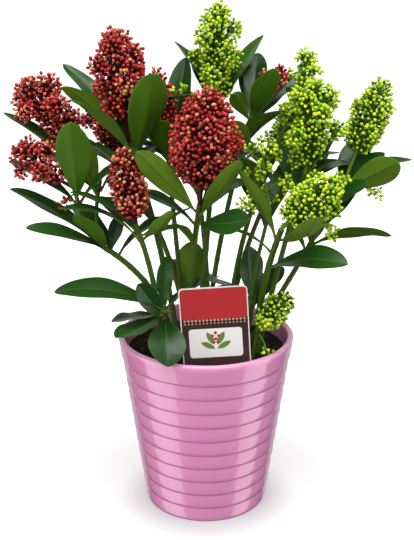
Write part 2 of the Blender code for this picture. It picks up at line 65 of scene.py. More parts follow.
# Pot and soil, as in the solids
RIM_RADIUS, FOOT_RADIUS, POT_HEIGHT = 75.0, 53.7, 154.3
WALL, FLOOR = 5.0, 8.0
RIM_BAND, RIBS = 19.0, 10
SOIL_LEVEL = 140.0
GROUND = SOIL_LEVEL * MM + GAP

# Plant label on its stake
LABEL_WIDE, LABEL_HIGH, LABEL_THICK = 55.0, 69.0, 1.0
LABEL_FOOT = Vector((9.5, -50.0, 143.5))
LABEL_TILT, LABEL_CORNER = -3.6, 3.5
STAKE_WIDE, STAKE_DEEP = 10.0, 34.0

# Coarse leaves, cores and bud groups, which say where the fine ones may grow
LEAF_THICK, LEAF_FOLD = 0.013, 0.22
LEAF_ROWS = {False: ((0.10, 0.10, 1.3), (0.34, 0.76, 1.0)), True: ((0.25, 0.50, 1.1), (0.36, 0.80, 1.0))}
STEM_SIDES, LOBE_SIDES = 5, 4
BRANCH_RADIUS = 0.9
CORE_SHARE = {"red": 0.74, "green": 0.66}
LOBE_SHARE = {"red": 0.165, "green": 0.152}

# Each shoot: foot on the soil (x, y) or the shoot it grows from, elbow and top of the leafy stem,
# radius at foot and top, and the flower cluster (colour, turn, lean, length, width, bare share).
SHOOTS = {
    "left": ((-28, -14), (-31, -16, 203), (-87, -26, 241), 2.9, 2.2, None),
    "red_left": ("left", (-96, -31, 256), (-103, -33, 286), 1.9, 1.7, ("red", 181, 51, 56, 47, 0.22)),
    "red_far_left": ("left", (-92, -10, 262), (-86, -4, 287), 1.8, 1.6, ("red", 175, 37, 97, 58, 0.45)),
    "red_tall": ((-24, 2), (-34, -1, 225), (-60, -9, 320), 2.6, 2.1, ("red", 185, 7, 89, 57, 0.21)),
    "red_middle": ((-17, 9), (-25, 8, 230), (-32, 15, 311), 2.2, 1.8, ("red", 201, 7, 66, 27, 0.19)),
    "red_low": ((-37, -27), (-37, -29, 205), (-55, -47, 264), 2.5, 2.0, ("red", 187, 8, 60, 34, 0.06)),
    "red_front": ((-18, -20), (-15, -19, 200), (-5, -40, 277), 2.7, 2.2, ("red", 329, 5, 90, 63, 0.17)),
    "red_back": ((0, 14), (8, 26, 230), (39, 22, 342), 2.4, 1.8, ("red", 31, 44, 44, 28, 0.33)),
    "green_tall": ((-9, 2), (4, 12, 240), (7, 27, 347), 2.5, 1.9, ("green", 319, 3, 80, 54, 0.05)),
    "green_back": ((19, 12), (24, 20, 250), (76, 33, 345), 2.4, 1.8, ("green", 23, 13, 43, 38, 0.12)),
    "green_right": ((45, -3), (61, -13, 225), (79, -16, 297), 2.5, 1.9, ("green", 26, 7, 72, 60, 0.06)),
    "green_far_right": ((37, 8), (78, 5, 208), (114, 6, 285), 2.6, 1.9, ("green", 11, 20, 88, 40, 0.29)),
    "green_low": ((43, -15), (42, -21, 200), (59, -45, 258), 3.1, 2.4, ("green", 350, 46, 59, 47, 0.16)),
    "green_sparse": ((31, -4), (38, -5, 205), (51, -20, 265), 1.9, 1.5, ("green", 200, 8, 62, 46, 0.12)),
    "red_rear_left": ((-16, 28), (-28, 32, 225), (-72, 58, 285), 2.5, 1.9, ("red", 145, 24, 72, 50, 0.15)),
    "red_rear": ((2, 32), (2, 40, 215), (-8, 86, 262), 2.5, 1.9, ("red", 98, 30, 72, 50, 0.15)),
    "green_rear_right": ((20, 28), (28, 34, 220), (66, 70, 276), 2.5, 1.9, ("green", 48, 28, 74, 52, 0.15)),
}

# Leaves that the front shows: down the stem from its top, turn, rise, length, width, arch, roll.
LEAVES = {
    "left": [(8, 172, 31, 91, 21, .07, -10), (9, 245, 44, 57, 25, -.04, 0), (12, 206, 29, 82, 20, .07, -18),
             (12, 66, 59, 31, 13, 0, 0), (16, 135, 30, 60, 20, .08, 0), (18, 20, 38, 52, 18, .05, 0)],
    "red_left": [(8, 273, 66, 74, 27, -.04, 0), (11, 165, 29, 66, 22, .06, 0)],
    "red_far_left": [(8, 178, 43, 97, 22, .04, 0), (11, 247, 61, 61, 20, 0, 35)],
    "red_tall": [(8, 221, 41, 74, 27, .04, 0), (10, 294, 56, 83, 30, -.05, 0), (12, 201, 46, 81, 18, .12, 50),
                 (13, 160, 46, 108, 24, .04, 0), (80, 325, 39, 44, 16, .06, 0),
                  (72, 150, 35, 58, 20, .08, 0)],
    "red_middle": [(8, 265, 52, 46, 24, -.05, 0), (10, 53, 75, 85, 27, 0, 0)],
    "red_low": [(8, 186, 33, 61, 19, .08, 0), (17, 197, 28, 70, 19, .12, 0), (10, 314, 37, 44, 20, -.16, 0),
                (15, 20, 12, 34, 14, .05, 0)],
    "red_front": [(8, 212, 46, 76, 20, .05, 60), (10, 311, 49, 69, 25, -.05, 0),
                  (17, 311, 15, 61, 21, -.04, 55), (38, 224, 46, 38, 13, .05, 0)],
    "red_back": [(8, 304, 58, 51, 29, -.05, 0), (10, 241, 41, 41, 13, .05, 50), (34, 303, 35, 69, 27, .08, 0),
                 (14, 30, 42, 57, 14, .04, 0), (44, 262, 48, 52, 22, -.04, 0)],
    "green_tall": [(8, 155, 59, 66, 22, .05, 0), (10, 217, 20, 64, 16, .08, 0), (12, 214, 35, 52, 15, .08, 0),
                   (9, 33, 52, 78, 25, .03, 0)],
    "green_back": [(8, 60, 50, 44, 20, .06, 0), (11, 330, 40, 40, 16, .05, 0), (84, 20, 66, 50, 25, 0, 0),
                   (88, 228, 62, 50, 24, .03, 0)],
    "green_right": [(8, 20, 27, 36, 19, .08, 0), (12, 318, 64, 40, 11, .04, 30), (15, 60, 30, 54, 20, .08, 0),
                    (22, 100, 40, 56, 20, .06, 0)],
    "green_far_right": [(8, 314, 29, 64, 24, .05, -70), (28, 330, 42, 46, 19, .06, 45),
                        (11, 16, 22, 70, 19, .08, 10), (9, 354, 42, 51, 19, .06, 25),
                        (60, 320, 17, 79, 17, .05, -35), (50, 345, 52, 56, 19, .04, 40),
                        (62, 290, 58, 44, 17, -.05, 0), (66, 226, 46, 42, 15, .06, 0)],
    "green_low": [(8, 297, 29, 61, 27, -.14, 0), (10, 211, 57, 73, 19, .03, 0),
                  (38, 325, 14, 71, 28, .08, 22),
                  (23, 195, 22, 61, 14, .12, 0)],
    "green_sparse": [(9, 130, 45, 40, 14, .05, 0), (18, 70, 48, 50, 20, .05, 0)],
    "red_rear_left": [(8, 190, 35, 66, 22, .08, 0)],
    "red_rear": [(8, 20, 35, 62, 22, .08, 0)],
    "green_rear_right": [(8, 350, 30, 62, 21, .08, 0)],
}

# How many more leaves each shoot carries on the sides that the front hides.
FILLERS = {"left": 1, "red_left": 2, "red_far_left": 3, "red_tall": 4, "red_middle": 4, "red_low": 2,
           "red_front": 3, "red_back": 4, "green_tall": 4, "green_back": 4, "green_right": 3,
           "green_far_right": 3, "green_low": 0, "green_sparse": 1, "red_rear_left": 8, "red_rear": 8,
           "green_rear_right": 8}

# Short leafy shoots low in the pot: foot, top, radius, leaves as above.
LOW_SHOOTS = {
    "leaves_low_left": ((-33, -37), (-34, -39, 193), 2.2, [
        (4, 186, 12, 89, 24, .12, -24), (7, 226, -7, 52, 25, -.05, 0), (9, 205, 2, 45, 20, .05, 0),
        (10, 276, -34, 48, 30, .10, 0), (5, 277, 21, 33, 10, -.05, 0), (14, 179, 58, 42, 19, .03, -65),
        (4, 23, 42, 31, 10, 0, 0), (7, 94, 80, 54, 16, 0, 0)]),
    "leaves_low_right": ((35, 17), (42, 13, 182), 2.2, [
        (6, 206, 31, 58, 20, .08, 0), (9, 110, 80, 56, 27, 0, 0), (11, 84, 20, 50, 21, .10, 0),
        (13, 60, 35, 56, 20, .06, 0)]),
    "leaves_low_rear": ((-14, 42), (-18, 46, 178), 2.2, [
        (10, 268, 64, 74, 26, .03, 0), (6, 60, 2, 54, 22, .10, 0), (9, 96, 15, 66, 23, .10, 0),
        (12, 80, 44, 60, 21, .06, 0), (8, 122, 30, 52, 20, .08, 0), (14, 12, 8, 54, 20, .08, 0)]),
}

# The small open spray that leans over the soil beside the label: foot, top, cluster.
LOW_SPRAY = ((38, -29), (42, -30, 167), 1.6, ("green", 352, 38, 43, 30, 0.12))

# How the buds of each colour stand: bud radius and spacing, twig radius, how far round a group the tufts
# reach (degrees) and how far apart, buds in a tuft and their stalk, and the share of the crowded middle.
BUD_RULE = {
    "red": dict(bud=1.36, gap=3.35, twig=0.80, cap=122, tuft=6.2, heads=6, arm=3.3, inside=0.80),
    "green": dict(bud=1.36, gap=3.20, twig=0.75, cap=116, tuft=7.4, heads=7, arm=3.2, inside=0.74),
}
# The last colour of each is the painted shade of the buds deep inside a cluster.
BUD_COLOURS = {"red": ("crimson", "carmine", "brick", "salmon", "tan", "wine"),
               "green": ("lime", "yellow_green", "leaf_green", "moss")}
DEEP_SHADE = {"red": "wine", "green": "moss"}
BUD_SHARES = {"red": (34, 26, 21, 14, 5, 0), "green": (38, 42, 20, 0)}
TAN_SHARES = (20, 10, 20, 28, 22, 0)        # the low cluster on the left is the most orange one

# How much of its buds an open cluster keeps, and how much the top of a pointed one draws in
OPEN = {"buds_green_sparse": 0.5, "spray_low": 0.8, "buds_red_left": 0.78, "buds_green_low": 0.9,
        "buds_green_far_right": 0.85, "buds_green_tall": 0.92, "buds_green_right": 0.92}
CONE = {"buds_red_front": 0.75, "buds_red_tall": 0.3, "buds_red_low": 0.5, "buds_green_tall": 0.3}

# Loose sprays beside the panicles: foot, tip and tufts
SPRIGS = (
    ("green", (6, 25, 350), (-21, -8, 361), 6), ("green", (115, 6, 286), (141, 1, 277), 5),
    ("green", (84, -35, 264), (100, -42, 255), 5), ("green", (90, -26, 284), (107, -31, 296), 5),
    ("green", (76, -28, 274), (63, -33, 291), 5), ("green", (51, -21, 266), (30, -37, 277), 6),
    ("green", (43, -33, 169), (47, -50, 184), 4), ("green", (44, -35, 166), (51, -46, 153), 3),
    ("red", (-102, -33, 285), (-113, -22, 273), 4),
)

# Camera in the photo's place: worked out from the ellipses of the pot's rim and foot.
CAMERA_PLACE = (0.85 * MM, -750 * MM, 457.4 * MM)
CAMERA_PITCH, CAMERA_LENS = 71.75, 62.4


# Coarse shapes, as in the solids

def direction(turn, rise):
    t, r = math.radians(turn), math.radians(rise)
    return Vector((math.cos(r) * math.cos(t), math.cos(r) * math.sin(t), math.sin(r)))


def bend(start, elbow, end, count):
    """Evenly spaced points on one smooth curve, and its length."""
    steps = (i / 60 for i in range(61))
    fine = [start * (1 - t) ** 2 + elbow * (2 * t * (1 - t)) + end * t ** 2 for t in steps]
    run = [0.0]
    for a, b in zip(fine, fine[1:]):
        run.append(run[-1] + (b - a).length)
    points = []
    for i in range(count + 1):
        want = run[-1] * i / count
        k = min(max(j for j in range(61) if run[j] <= want + 1e-12), 59)
        points.append(fine[k].lerp(fine[k + 1], (want - run[k]) / (run[k + 1] - run[k])))
    return points, run[-1]


def ring(centre, u, v, radius, sides, shift=0.0):
    """Points round a centre, in the plane of two directions."""
    angles = (math.tau * (k + shift) / sides for k in range(sides))
    return [centre + (u * math.cos(a) + v * math.sin(a)) * radius for a in angles]


def skin(rings, foot=None, tip=None, split=False):
    """Rings of points as a closed body, with a point or a flat face at each end."""
    n, points, faces = len(rings[0]), [p for row in rings for p in row], []
    for a in range(0, len(points) - n, n):
        for k in range(n):
            m = (k + 1) % n
            quad = (a + k, a + m, a + n + m, a + n + k)
            faces += [quad[:3], (quad[0], *quad[2:])] if split else [quad]
    ends = ((foot, list(range(n))[::-1]), (tip, list(range(len(points) - n, len(points)))))
    for end, rim in ends:
        if end is None:
            faces.append(tuple(rim))
        else:
            faces += [(a, b, len(points)) for a, b in zip(rim, rim[1:] + rim[:1])]
            points.append(end)
    return points, faces


def tube(points, radii, sides, flat_foot=False):
    """A coarse tapering limb with flat ends."""
    rings = []
    for i, (p, radius) in enumerate(zip(points, radii)):
        ahead = points[min(i + 1, len(points) - 1)] - points[max(i - 1, 0)]
        if flat_foot and i == 0:
            ahead = Vector((0, 0, 1))
        ahead.normalize()
        u = ahead.orthogonal() if abs(ahead.z) < 0.2 else ahead.cross(Vector((0, 1, 0))).normalized()
        u.normalize()
        rings.append(ring(p, u, ahead.cross(u), radius, sides, 0.25))
    return skin(rings)


def leaf_block(base, turn, rise, length, width, arch, roll, grow=0.0, outer=False):
    """The coarse blade that keeps a leaf's room."""
    d = direction(turn, rise)
    n = Matrix.Rotation(math.radians(roll), 3, d) @ direction(turn, rise + 90)
    s = d.cross(n)
    long, half = length * MM, width * MM / 2
    rings = []
    for t, wide, deep in (*LEAF_ROWS[outer], (0.60, 1.0, 0.9), (0.84, 0.66, 0.7)):
        c = base + d * long * t + n * (arch * long * 4 * t * (1 - t))
        out, lift = s * (half * wide + grow), n * (LEAF_FOLD * half * wide)
        rib = n * (LEAF_THICK * long * deep / 2 + grow)
        rings.append([c - out + lift, c + rib, c + out + lift, c - rib])
    foot = base + d * long * 0.20 if outer else base - d * grow
    return skin(rings, foot, base + d * (long + grow), True)


def drop(centre, radius, axis, spin):
    """The coarse drop that keeps the room of a group of buds."""
    u = (Matrix.Rotation(spin, 3, axis) @ axis.orthogonal()).normalized()
    reach = axis * radius * 1.1
    return skin([ring(centre, u, axis.cross(u), radius, LOBE_SIDES)], centre - reach, centre + reach)


def egg(share):
    """The flower cluster's outline: its half width at a share of its height, widest below the middle."""
    return math.sqrt(max(0.0, 1 - (2 * share ** 0.82 - 1) ** 2))


def core(low, axis, height, half, grow=0.0):
    """The coarse crowded middle of a flower cluster."""
    u = axis.orthogonal().normalized()
    rings = [ring(low + axis * height * share, u, axis.cross(u), half * egg(share) + grow, 6, share)
             for share in (0.16, 0.42, 0.68, 0.88)]
    return skin(rings, low - axis * grow, low + axis * (height + grow), True)


def node_piece(name):
    """A solid of the frame as points and faces."""
    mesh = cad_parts[name].data
    return [v.co.copy() for v in mesh.vertices], [tuple(p.vertices) for p in mesh.polygons]


def along(limb, run):
    """The place at a length along a limb."""
    place = min(max(run / limb.length, 0.0), 1.0) * (len(limb.points) - 1)
    k = min(int(place), len(limb.points) - 2)
    return limb.points[k].lerp(limb.points[k + 1], place - k)


class Room:
    """Keeps every placed piece, so that the next one stays clear of the other solids."""

    def __init__(self):
        self.taken = []

    @staticmethod
    def box(piece):
        return [(min(line), max(line)) for line in zip(*piece[0])]

    def add(self, node, piece):
        self.taken.append((node, self.box(piece), BVHTree.FromPolygons(*piece)))

    def meets(self, piece, counts):
        """Whether the piece meets a placed piece whose node counts."""
        box, tree = self.box(piece), BVHTree.FromPolygons(*piece)
        return any(tree.overlap(there) for other, room, there in self.taken
                   if counts(other) and all(a[0] <= b[1] and b[0] <= a[1] for a, b in zip(box, room)))

    def touches(self, node, piece):
        """Whether the piece meets a solid of another node."""
        return self.meets(piece, lambda other: other.split()[0] != node)

    def crosses(self, node, piece):
        """Whether the piece runs through another leaf of its own shoot."""
        return self.meets(piece, lambda other: other == node + " leaf")


class Plant:
    """What grows where: limbs, leaves and flower clusters, placed by the solids' own rule."""

    def __init__(self):
        self.room, self.limbs = Room(), {}
        self.leaves = []        # node, base, turn, rise, length, width, arch, roll
        self.clusters = []
        for name in ("pot", "soil", "label"):
            self.room.add(name, node_piece(name))
        for name, row in SHOOTS.items():
            self.long_shoot(name, *row)
        for name, row in LOW_SHOOTS.items():
            self.short_shoot(name, *row[:3])
        self.short_shoot("spray_low", *LOW_SPRAY)
        for name, rows in LEAVES.items():
            for down, *row in rows:
                self.try_leaf("leaves_" + name, self.below(name, down), row)
        for name, (foot, top, radius, rows) in LOW_SHOOTS.items():
            for down, *row in rows:
                self.try_leaf(name, self.limbs[name].end - self.limbs[name].heading * (down * MM), row)
        rng = random.Random(41)
        for name, row in SHOOTS.items():
            if row[-1]:
                self.grow_cluster("buds_" + name, self.limbs[name], row[-1], rng)
        self.grow_cluster("spray_low", self.limbs["spray_low"], LOW_SPRAY[-1], rng)
        for name, count in FILLERS.items():
            self.fill(name, count, rng)

    def below(self, name, down):
        """The place so far down a shoot from its top."""
        return along(self.limbs[name], self.limbs[name].length - down * MM)

    def long_shoot(self, name, foot, elbow, top, r_foot, r_top, cluster):
        """A bent stem up to its leaves, the leafy part above it and the stalk of its cluster."""
        elbow, end, fork = Vector(elbow) * MM, Vector(top) * MM, None
        if foot in self.limbs:
            fork = self.below(foot, 5)
            toward = (elbow - fork).normalized()
            start = fork + toward * (12 * MM)
            arm = tube([fork, start], [r_foot * MM * 1.05, r_foot * MM], STEM_SIDES)
            self.room.add("leaves_" + foot, arm)
            start = start + toward * GAP
        else:
            start = Vector((foot[0] * MM, foot[1] * MM, GROUND))
        points, total = bend(start, elbow, end, 40)
        limb = self.limbs[name] = SimpleNamespace(points=points, length=total, end=end, fork=fork,
                                                  r_foot=r_foot * MM, r_top=r_top * MM)
        limb.heading = (along(limb, total) - self.below(name, 4)).normalized()
        enter = total - (max(row[0] for row in LEAVES[name]) + 6) * MM
        for node, a, b, count in (("stem_", 0, enter - GAP, 5), ("leaves_", enter, total, 3)):
            marks = [a + (b - a) * i / count for i in range(count + 1)]
            radii = [(r_foot + (r_top - r_foot) * m / total) * MM for m in marks]
            flat_foot = a == 0 and not fork
            if flat_foot:
                radii[0] *= 1.35
            self.room.add(node + name, tube([along(limb, m) for m in marks], radii, STEM_SIDES, flat_foot))
        if cluster:
            axis, length = direction(cluster[1], 90 - cluster[2]), cluster[3]
            low = end + limb.heading * GAP
            line = [low, low + limb.heading * (2 * MM), end + axis * length * 0.5 * MM,
                    end + axis * (length - 6) * MM]
            radii = [r_top * share * MM for share in (0.9, 0.85, 0.75)] + [0.9 * MM]
            self.room.add("buds_" + name, tube(line, radii, 4))

    def short_shoot(self, name, foot, top, radius, cluster=None):
        """A short straight stem low in the pot; a spray's runs on through its cluster."""
        start, end = Vector((foot[0] * MM, foot[1] * MM, GROUND)), Vector(top) * MM
        line, radii = [start, start.lerp(end, 0.5), end], [radius * share * MM for share in (1.3, 1, 0.8)]
        self.limbs[name] = SimpleNamespace(points=line[:], length=(end - start).length, end=end, fork=None,
                                           r_foot=radius * 1.1 * MM, r_top=radius * 0.8 * MM,
                                           heading=(end - start).normalized())
        if cluster:
            line.append(end + direction(cluster[1], 90 - cluster[2]) * (cluster[3] - 5) * MM)
            radii.append(0.8 * MM)
        self.room.add(name, tube(line, radii, 4 if cluster else STEM_SIDES, True))

    def try_leaf(self, node, spot, row):
        """Places a leaf where it is clear of the other solids, a little turned if need be, or skips it."""
        turn, rise, length, width, arch, roll = row
        base = spot + direction(turn, 0) * (0.5 * MM)
        for step in range(13):
            swing = (step % 5 + 1) // 2 * (6 if step % 2 else -6)
            pitch, shrink = (0, -7, 8)[step // 5], 1 - 0.02 * step
            args = (base, turn + swing, rise + pitch, length * shrink, width * shrink, arch, roll)
            if self.room.touches(node, leaf_block(*args, grow=CLEAR)):
                continue
            if not self.room.crosses(node, leaf_block(*args, outer=True)):
                self.room.add(node, leaf_block(*args))
                self.room.add(node + " leaf", leaf_block(*args, outer=True))
                self.leaves.append((node, *args))
                return

    def fill(self, name, count, rng):
        """Leaves for the sides that the front hides."""
        deepest = min(max(row[0] for row in LEAVES[name]), 20)
        begin = rng.uniform(0, 360)
        for i in range(count):
            down, turn = 7 + (deepest - 7) * (i + 0.5) / count, begin + GOLDEN * i
            turn = turn % 360 if "rear" in name else 15 + turn % 150
            rise, length, width = rng.uniform(18, 52), rng.uniform(56, 74), rng.uniform(19, 25)
            row = (turn, rise, length, width, rng.uniform(.04, .10), 0)
            self.try_leaf("leaves_" + name, self.below(name, down), row)

    def try_core(self, node, colour, low, axis, height, half):
        """The share of the cluster's width that its crowded middle can take."""
        for share in (1.0, 0.8, 0.6, 0.4):
            reach, tall = CORE_SHARE[colour] * share, height * (0.9 + 0.02 * share)
            if not self.room.touches(node, core(low, axis, tall, half * reach, CLEAR)):
                self.room.add(node, core(low, axis, tall, half * reach))
                return reach
        return 0.0

    def grow_cluster(self, node, limb, row, rng):
        """A crowded middle with groups of buds standing out of it by the golden angle, on short twigs."""
        colour, turn, lean, length, width, bare = row
        room, axis, groups = self.room, direction(turn, 90 - lean), []
        low = limb.end + axis * (bare * length * MM)
        height, half = length * (1 - bare) * MM, width / 2 * MM
        middle = self.try_core(node, colour, low, axis, height, half)
        side = axis.orthogonal().normalized()
        size = max(LOBE_SHARE[colour] * width, 4.0) * MM
        count = round(height / MM * width / 480) + 4
        begin = rng.uniform(0, 360)
        for i in range(count + 1):
            top, share = i == count, (i + 0.5) / count
            spin = rng.uniform(0, math.tau)
            lobe = size * rng.uniform(0.85, 1.1)
            lift = math.radians(-12 + 74 * share)
            around = Matrix.Rotation(math.radians(begin + GOLDEN * i), 3, axis)
            ray = axis if top else (around @ side) * math.cos(lift) + axis * math.sin(lift)
            root = low + axis * height * (0.80 if top else 0.08 + 0.78 * share)
            wide = half * egg(min(share, 0.93))
            spot = root + ray * ((height * 0.2 if top else max(wide, lobe * 1.2)) - lobe)
            for small in (1.0, 0.75, 0.55):
                if not room.touches(node, drop(spot, lobe * small + CLEAR, ray, spin)):
                    break
            else:
                continue
            if not top and room.touches(node, tube([root, spot], [BRANCH_RADIUS * MM + CLEAR] * 2, 3)):
                continue
            radius = lobe * small
            room.add(node, drop(spot, radius, ray, spin))
            if not top and (spot - root).length - radius * 0.7 > wide * middle * 0.85:
                room.add(node, tube([root, spot], [BRANCH_RADIUS * MM] * 2, 3))
            groups.append(SimpleNamespace(root=root, spot=spot, radius=radius, ray=ray))
        self.clusters.append(SimpleNamespace(
            node=node, colour=colour, rule=BUD_RULE[colour], base=limb.end, heading=limb.heading, axis=axis,
            low=low, length=length * MM, height=height, half=half, middle=middle, groups=groups,
            stem=limb.r_top / MM))


@functools.cache
def plant():
    return Plant()


# Pieces

def add_object(name, data):
    obj = bpy.data.objects.new(name, data)
    bpy.context.scene.collection.objects.link(obj)
    return obj


class Solid:
    """Gathers the points, faces and finishes of one joined piece."""

    def __init__(self, name):
        self.name, self.points, self.faces, self.finish = name, [], [], []

    def add(self, points, faces, finish):
        start = len(self.points)
        self.points += [tuple(p) for p in points]
        self.faces += [tuple(start + k for k in face) for face in faces]
        self.finish += finish if isinstance(finish, list) else [finish] * len(faces)

    def make(self, *materials):
        mesh = bpy.data.meshes.new(self.name)
        mesh.from_pydata(self.points, [], self.faces)
        for material in materials:
            mesh.materials.append(material)
        mesh.polygons.foreach_set("material_index", self.finish)
        mesh.shade_smooth()
        mesh.update()
        return add_object(self.name, mesh)


def put(obj, nodes):
    """Rides a finished piece on the one body and hides the solids it stands for."""
    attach(obj, "root")
    if nodes:
        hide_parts(*nodes)


def cad_nodes(*starts):
    return [name for name in sorted(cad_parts) if name.startswith(starts)]


# Node trees

class Nodes:
    """A node tree whose nodes are made, set and linked in one call."""

    def node(self, kind, settings=None, **values):
        node = self.tree.nodes.new(kind)
        for key, value in (settings or {}).items():
            setattr(node, key, value)
        for key, value in values.items():
            self.fill(node.inputs[key.replace("_", " ")], value)
        return node

    def fill(self, socket, value):
        if isinstance(value, bpy.types.NodeSocket):
            self.tree.links.new(value, socket)
        else:
            socket.default_value = value

    def reckon(self, kind, operation, *values, out=0):
        """What a node that reckons with up to two values gives."""
        node = self.node(kind, {"operation": operation})
        for at, value in zip((0, 3) if operation == "SCALE" else (0, 1), values):
            self.fill(node.inputs[at], value)
        return node.outputs[out]


MATH, VECTOR = "ShaderNodeMath", "ShaderNodeVectorMath"
COMPARE, LOGIC = "FunctionNodeCompare", "FunctionNodeBooleanMath"


class Paint(Nodes):
    """Builds one procedural material around a Principled shader."""

    def __init__(self, name, colour, roughness, **sockets):
        self.material = bpy.data.materials.new(name)
        self.material.use_nodes = True
        self.tree = self.material.node_tree
        self.sockets = self.tree.nodes["Principled BSDF"].inputs
        for socket, value in {"Base_Color": (*colour, 1.0), "Roughness": roughness, **sockets}.items():
            self.sockets[socket.replace("_", " ")].default_value = value

    def coordinates(self, stretch=(1, 1, 1)):
        place = self.node("ShaderNodeTexCoord").outputs["Object"]
        return self.node("ShaderNodeMapping", Vector=place, Scale=stretch).outputs["Vector"]

    def noise(self, scale, detail, stretch=(1, 1, 1)):
        return self.node("ShaderNodeTexNoise", Vector=self.coordinates(stretch), Scale=scale,
                         Detail=detail).outputs["Fac"]

    def vary_colour(self, value, stops):
        node = self.node("ShaderNodeValToRGB", Fac=value)
        while len(node.color_ramp.elements) < len(stops):
            node.color_ramp.elements.new(0.5)
        for element, (place, colour) in zip(node.color_ramp.elements, stops):
            element.position = place
            element.color = (*colour, 1.0)
        self.fill(self.sockets["Base Color"], node.outputs["Color"])

    def bump(self, value, depth, strength):
        """Relief over the relief that is there; depth in millimetres."""
        node = self.node("ShaderNodeBump", Height=value, Distance=depth * MM, Strength=strength)
        for link in self.sockets["Normal"].links[:]:
            self.fill(node.inputs["Normal"], link.from_socket)
        self.fill(self.sockets["Normal"], node.outputs["Normal"])

    def wear(self, grain, low, high, *bumps):
        """Uneven gloss, then a relief for each (noise, depth, strength)."""
        if grain:
            spread = self.node("ShaderNodeMapRange", Value=self.noise(*grain), From_Min=0.3, From_Max=0.7,
                               To_Min=low, To_Max=high)
            self.fill(self.sockets["Roughness"], spread.outputs["Result"])
        for pattern, depth, strength in bumps:
            self.bump(self.noise(*pattern), depth, strength)
        return self.material


def leaf_paint(name, colour, roughness, coat=0.0):
    """Waxy leaf skin: a plain colour, with uneven gloss and fine pores."""
    paint = Paint(name, colour, roughness, Coat_Weight=coat, Coat_Roughness=0.22,
                  Specular_IOR_Level=0.34 if coat else 0.2)
    return paint.wear((120, 2), roughness - 0.05, roughness + 0.09,
                      ((900, 2), 0.06, 0.6), ((190, 2), 0.35, 0.5))


def bud_paint(name, colour, dull=False):
    """Bud skin: a plain colour, a waxy sheen and a slightly dimpled surface."""
    paint = Paint(name, colour, 0.40, Coat_Weight=0.0 if dull else 0.10, Coat_Roughness=0.25,
                  Specular_IOR_Level=0.1 if dull else 0.4)
    return paint.wear((700, 2), 0.36, 0.52, ((1300, 1), 0.12, 0.5))


def bark_paint(name, colour, roughness=0.5):
    """Young bark: a plain colour, lengthwise streaks and small pores in relief."""
    paint = Paint(name, colour, roughness, Specular_IOR_Level=0.25)
    paint.wear((300, 3, (1, 1, 0.2)), roughness - 0.08, roughness + 0.12,
               ((1100, 3, (1, 1, 0.12)), 0.18, 0.7))
    pores = paint.node("ShaderNodeTexVoronoi", Vector=paint.coordinates(), Scale=700)
    paint.bump(pores.outputs["Distance"], 0.1, 0.35)
    return paint.material


class Tree(Nodes):
    """A small Geometry Nodes tree with named inputs, run once on a piece and then taken off it."""

    def __init__(self, name, **inputs):
        self.tree = bpy.data.node_groups.new(name, "GeometryNodeTree")
        face = self.tree.interface
        for way in ("INPUT", "OUTPUT"):
            face.new_socket("Geometry", in_out=way, socket_type="NodeSocketGeometry")
        made = {label: face.new_socket(label, in_out="INPUT", socket_type="NodeSocket" + kind)
                for label, kind in inputs.items()}
        self.names = {label: socket.identifier for label, socket in made.items()}
        self.given = self.tree.nodes.new("NodeGroupInput").outputs
        self.sink = self.tree.nodes.new("NodeGroupOutput")

    def get(self, kind, settings=None, **values):
        """The first output of a geometry node."""
        return self.node("GeometryNode" + kind, settings, **values).outputs[0]

    def named(self, name, kind="FLOAT"):
        return self.get("InputNamedAttribute", {"data_type": kind}, Name=name)

    def random(self, low, high, seed):
        """A random vector for each point, with a fixed seed."""
        return self.node("FunctionNodeRandomValue", {"data_type": "FLOAT_VECTOR"}, Min=low, Max=high,
                         Seed=seed).outputs[0]

    def finish(self, shape, *paints):
        """Realizes the shape and sets its materials: each paint is a label, or a label and its selection."""
        shape = self.get("SetShadeSmooth", Geometry=self.get("RealizeInstances", Geometry=shape))
        for label, *selection in paints:
            shape = self.get("SetMaterial", Geometry=shape, Material=self.given[label],
                             Selection=selection[0] if selection else True)
        self.fill(self.sink.inputs[0], shape)
        return self

    def run(self, obj, **values):
        """Gives the object the plain mesh that the tree makes of it."""
        modifier = obj.modifiers.new("grow", "NODES")
        modifier.node_group = self.tree
        for label, value in values.items():
            modifier[self.names[label]] = value
        bpy.context.view_layer.update()
        made = obj.evaluated_get(bpy.context.evaluated_depsgraph_get())
        mesh = bpy.data.meshes.new_from_object(made)
        obj.modifiers.clear()
        obj.data = mesh
        mesh.name = obj.name


def seeds(name, points, edges=(), **attributes):
    """A piece of bare points or lines that carries what a tree reads."""
    mesh = bpy.data.meshes.new(name)
    mesh.from_pydata([tuple(p) for p in points], list(edges), [])
    for key, values in attributes.items():
        flat = np.array(values).ravel()
        vector = len(flat) > len(points)
        layer = mesh.attributes.new(key, "FLOAT_VECTOR" if vector else "FLOAT", "POINT")
        layer.data.foreach_set("vector" if vector else "value", flat)
    return add_object(name, mesh)


def twig_tree():
    """Round twigs along lines: `thick` is the radius at each point, `tint` picks the second material."""
    tree = Tree("twigs", Sides="Int", Relief="Float", Wood="Material", Accent="Material")
    line = tree.get("MeshToCurve", Mesh=tree.given[0])
    round_line = tree.get("CurvePrimitiveCircle", Resolution=tree.given["Sides"], Radius=1.0)
    tubes = tree.get("CurveToMesh", Curve=line, Profile_Curve=round_line, Scale=tree.named("thick"),
                     Fill_Caps=True)
    streaks = tree.reckon(VECTOR, "MULTIPLY", tree.get("InputPosition"), (1.0, 1.0, 0.16))
    ridges = tree.node("ShaderNodeTexNoise", Vector=streaks, Scale=900.0, Detail=2.0).outputs[0]
    height = tree.reckon(MATH, "MULTIPLY", tree.reckon(MATH, "SUBTRACT", ridges, 0.5), tree.given["Relief"])
    push = tree.reckon(VECTOR, "SCALE", tree.get("InputNormal"), height)
    bark = tree.get("SetPosition", Geometry=tubes, Offset=push)
    accent = tree.reckon(COMPARE, "GREATER_THAN", tree.named("tint"), 0.5)
    return tree.finish(bark, ("Wood",), ("Accent", accent))


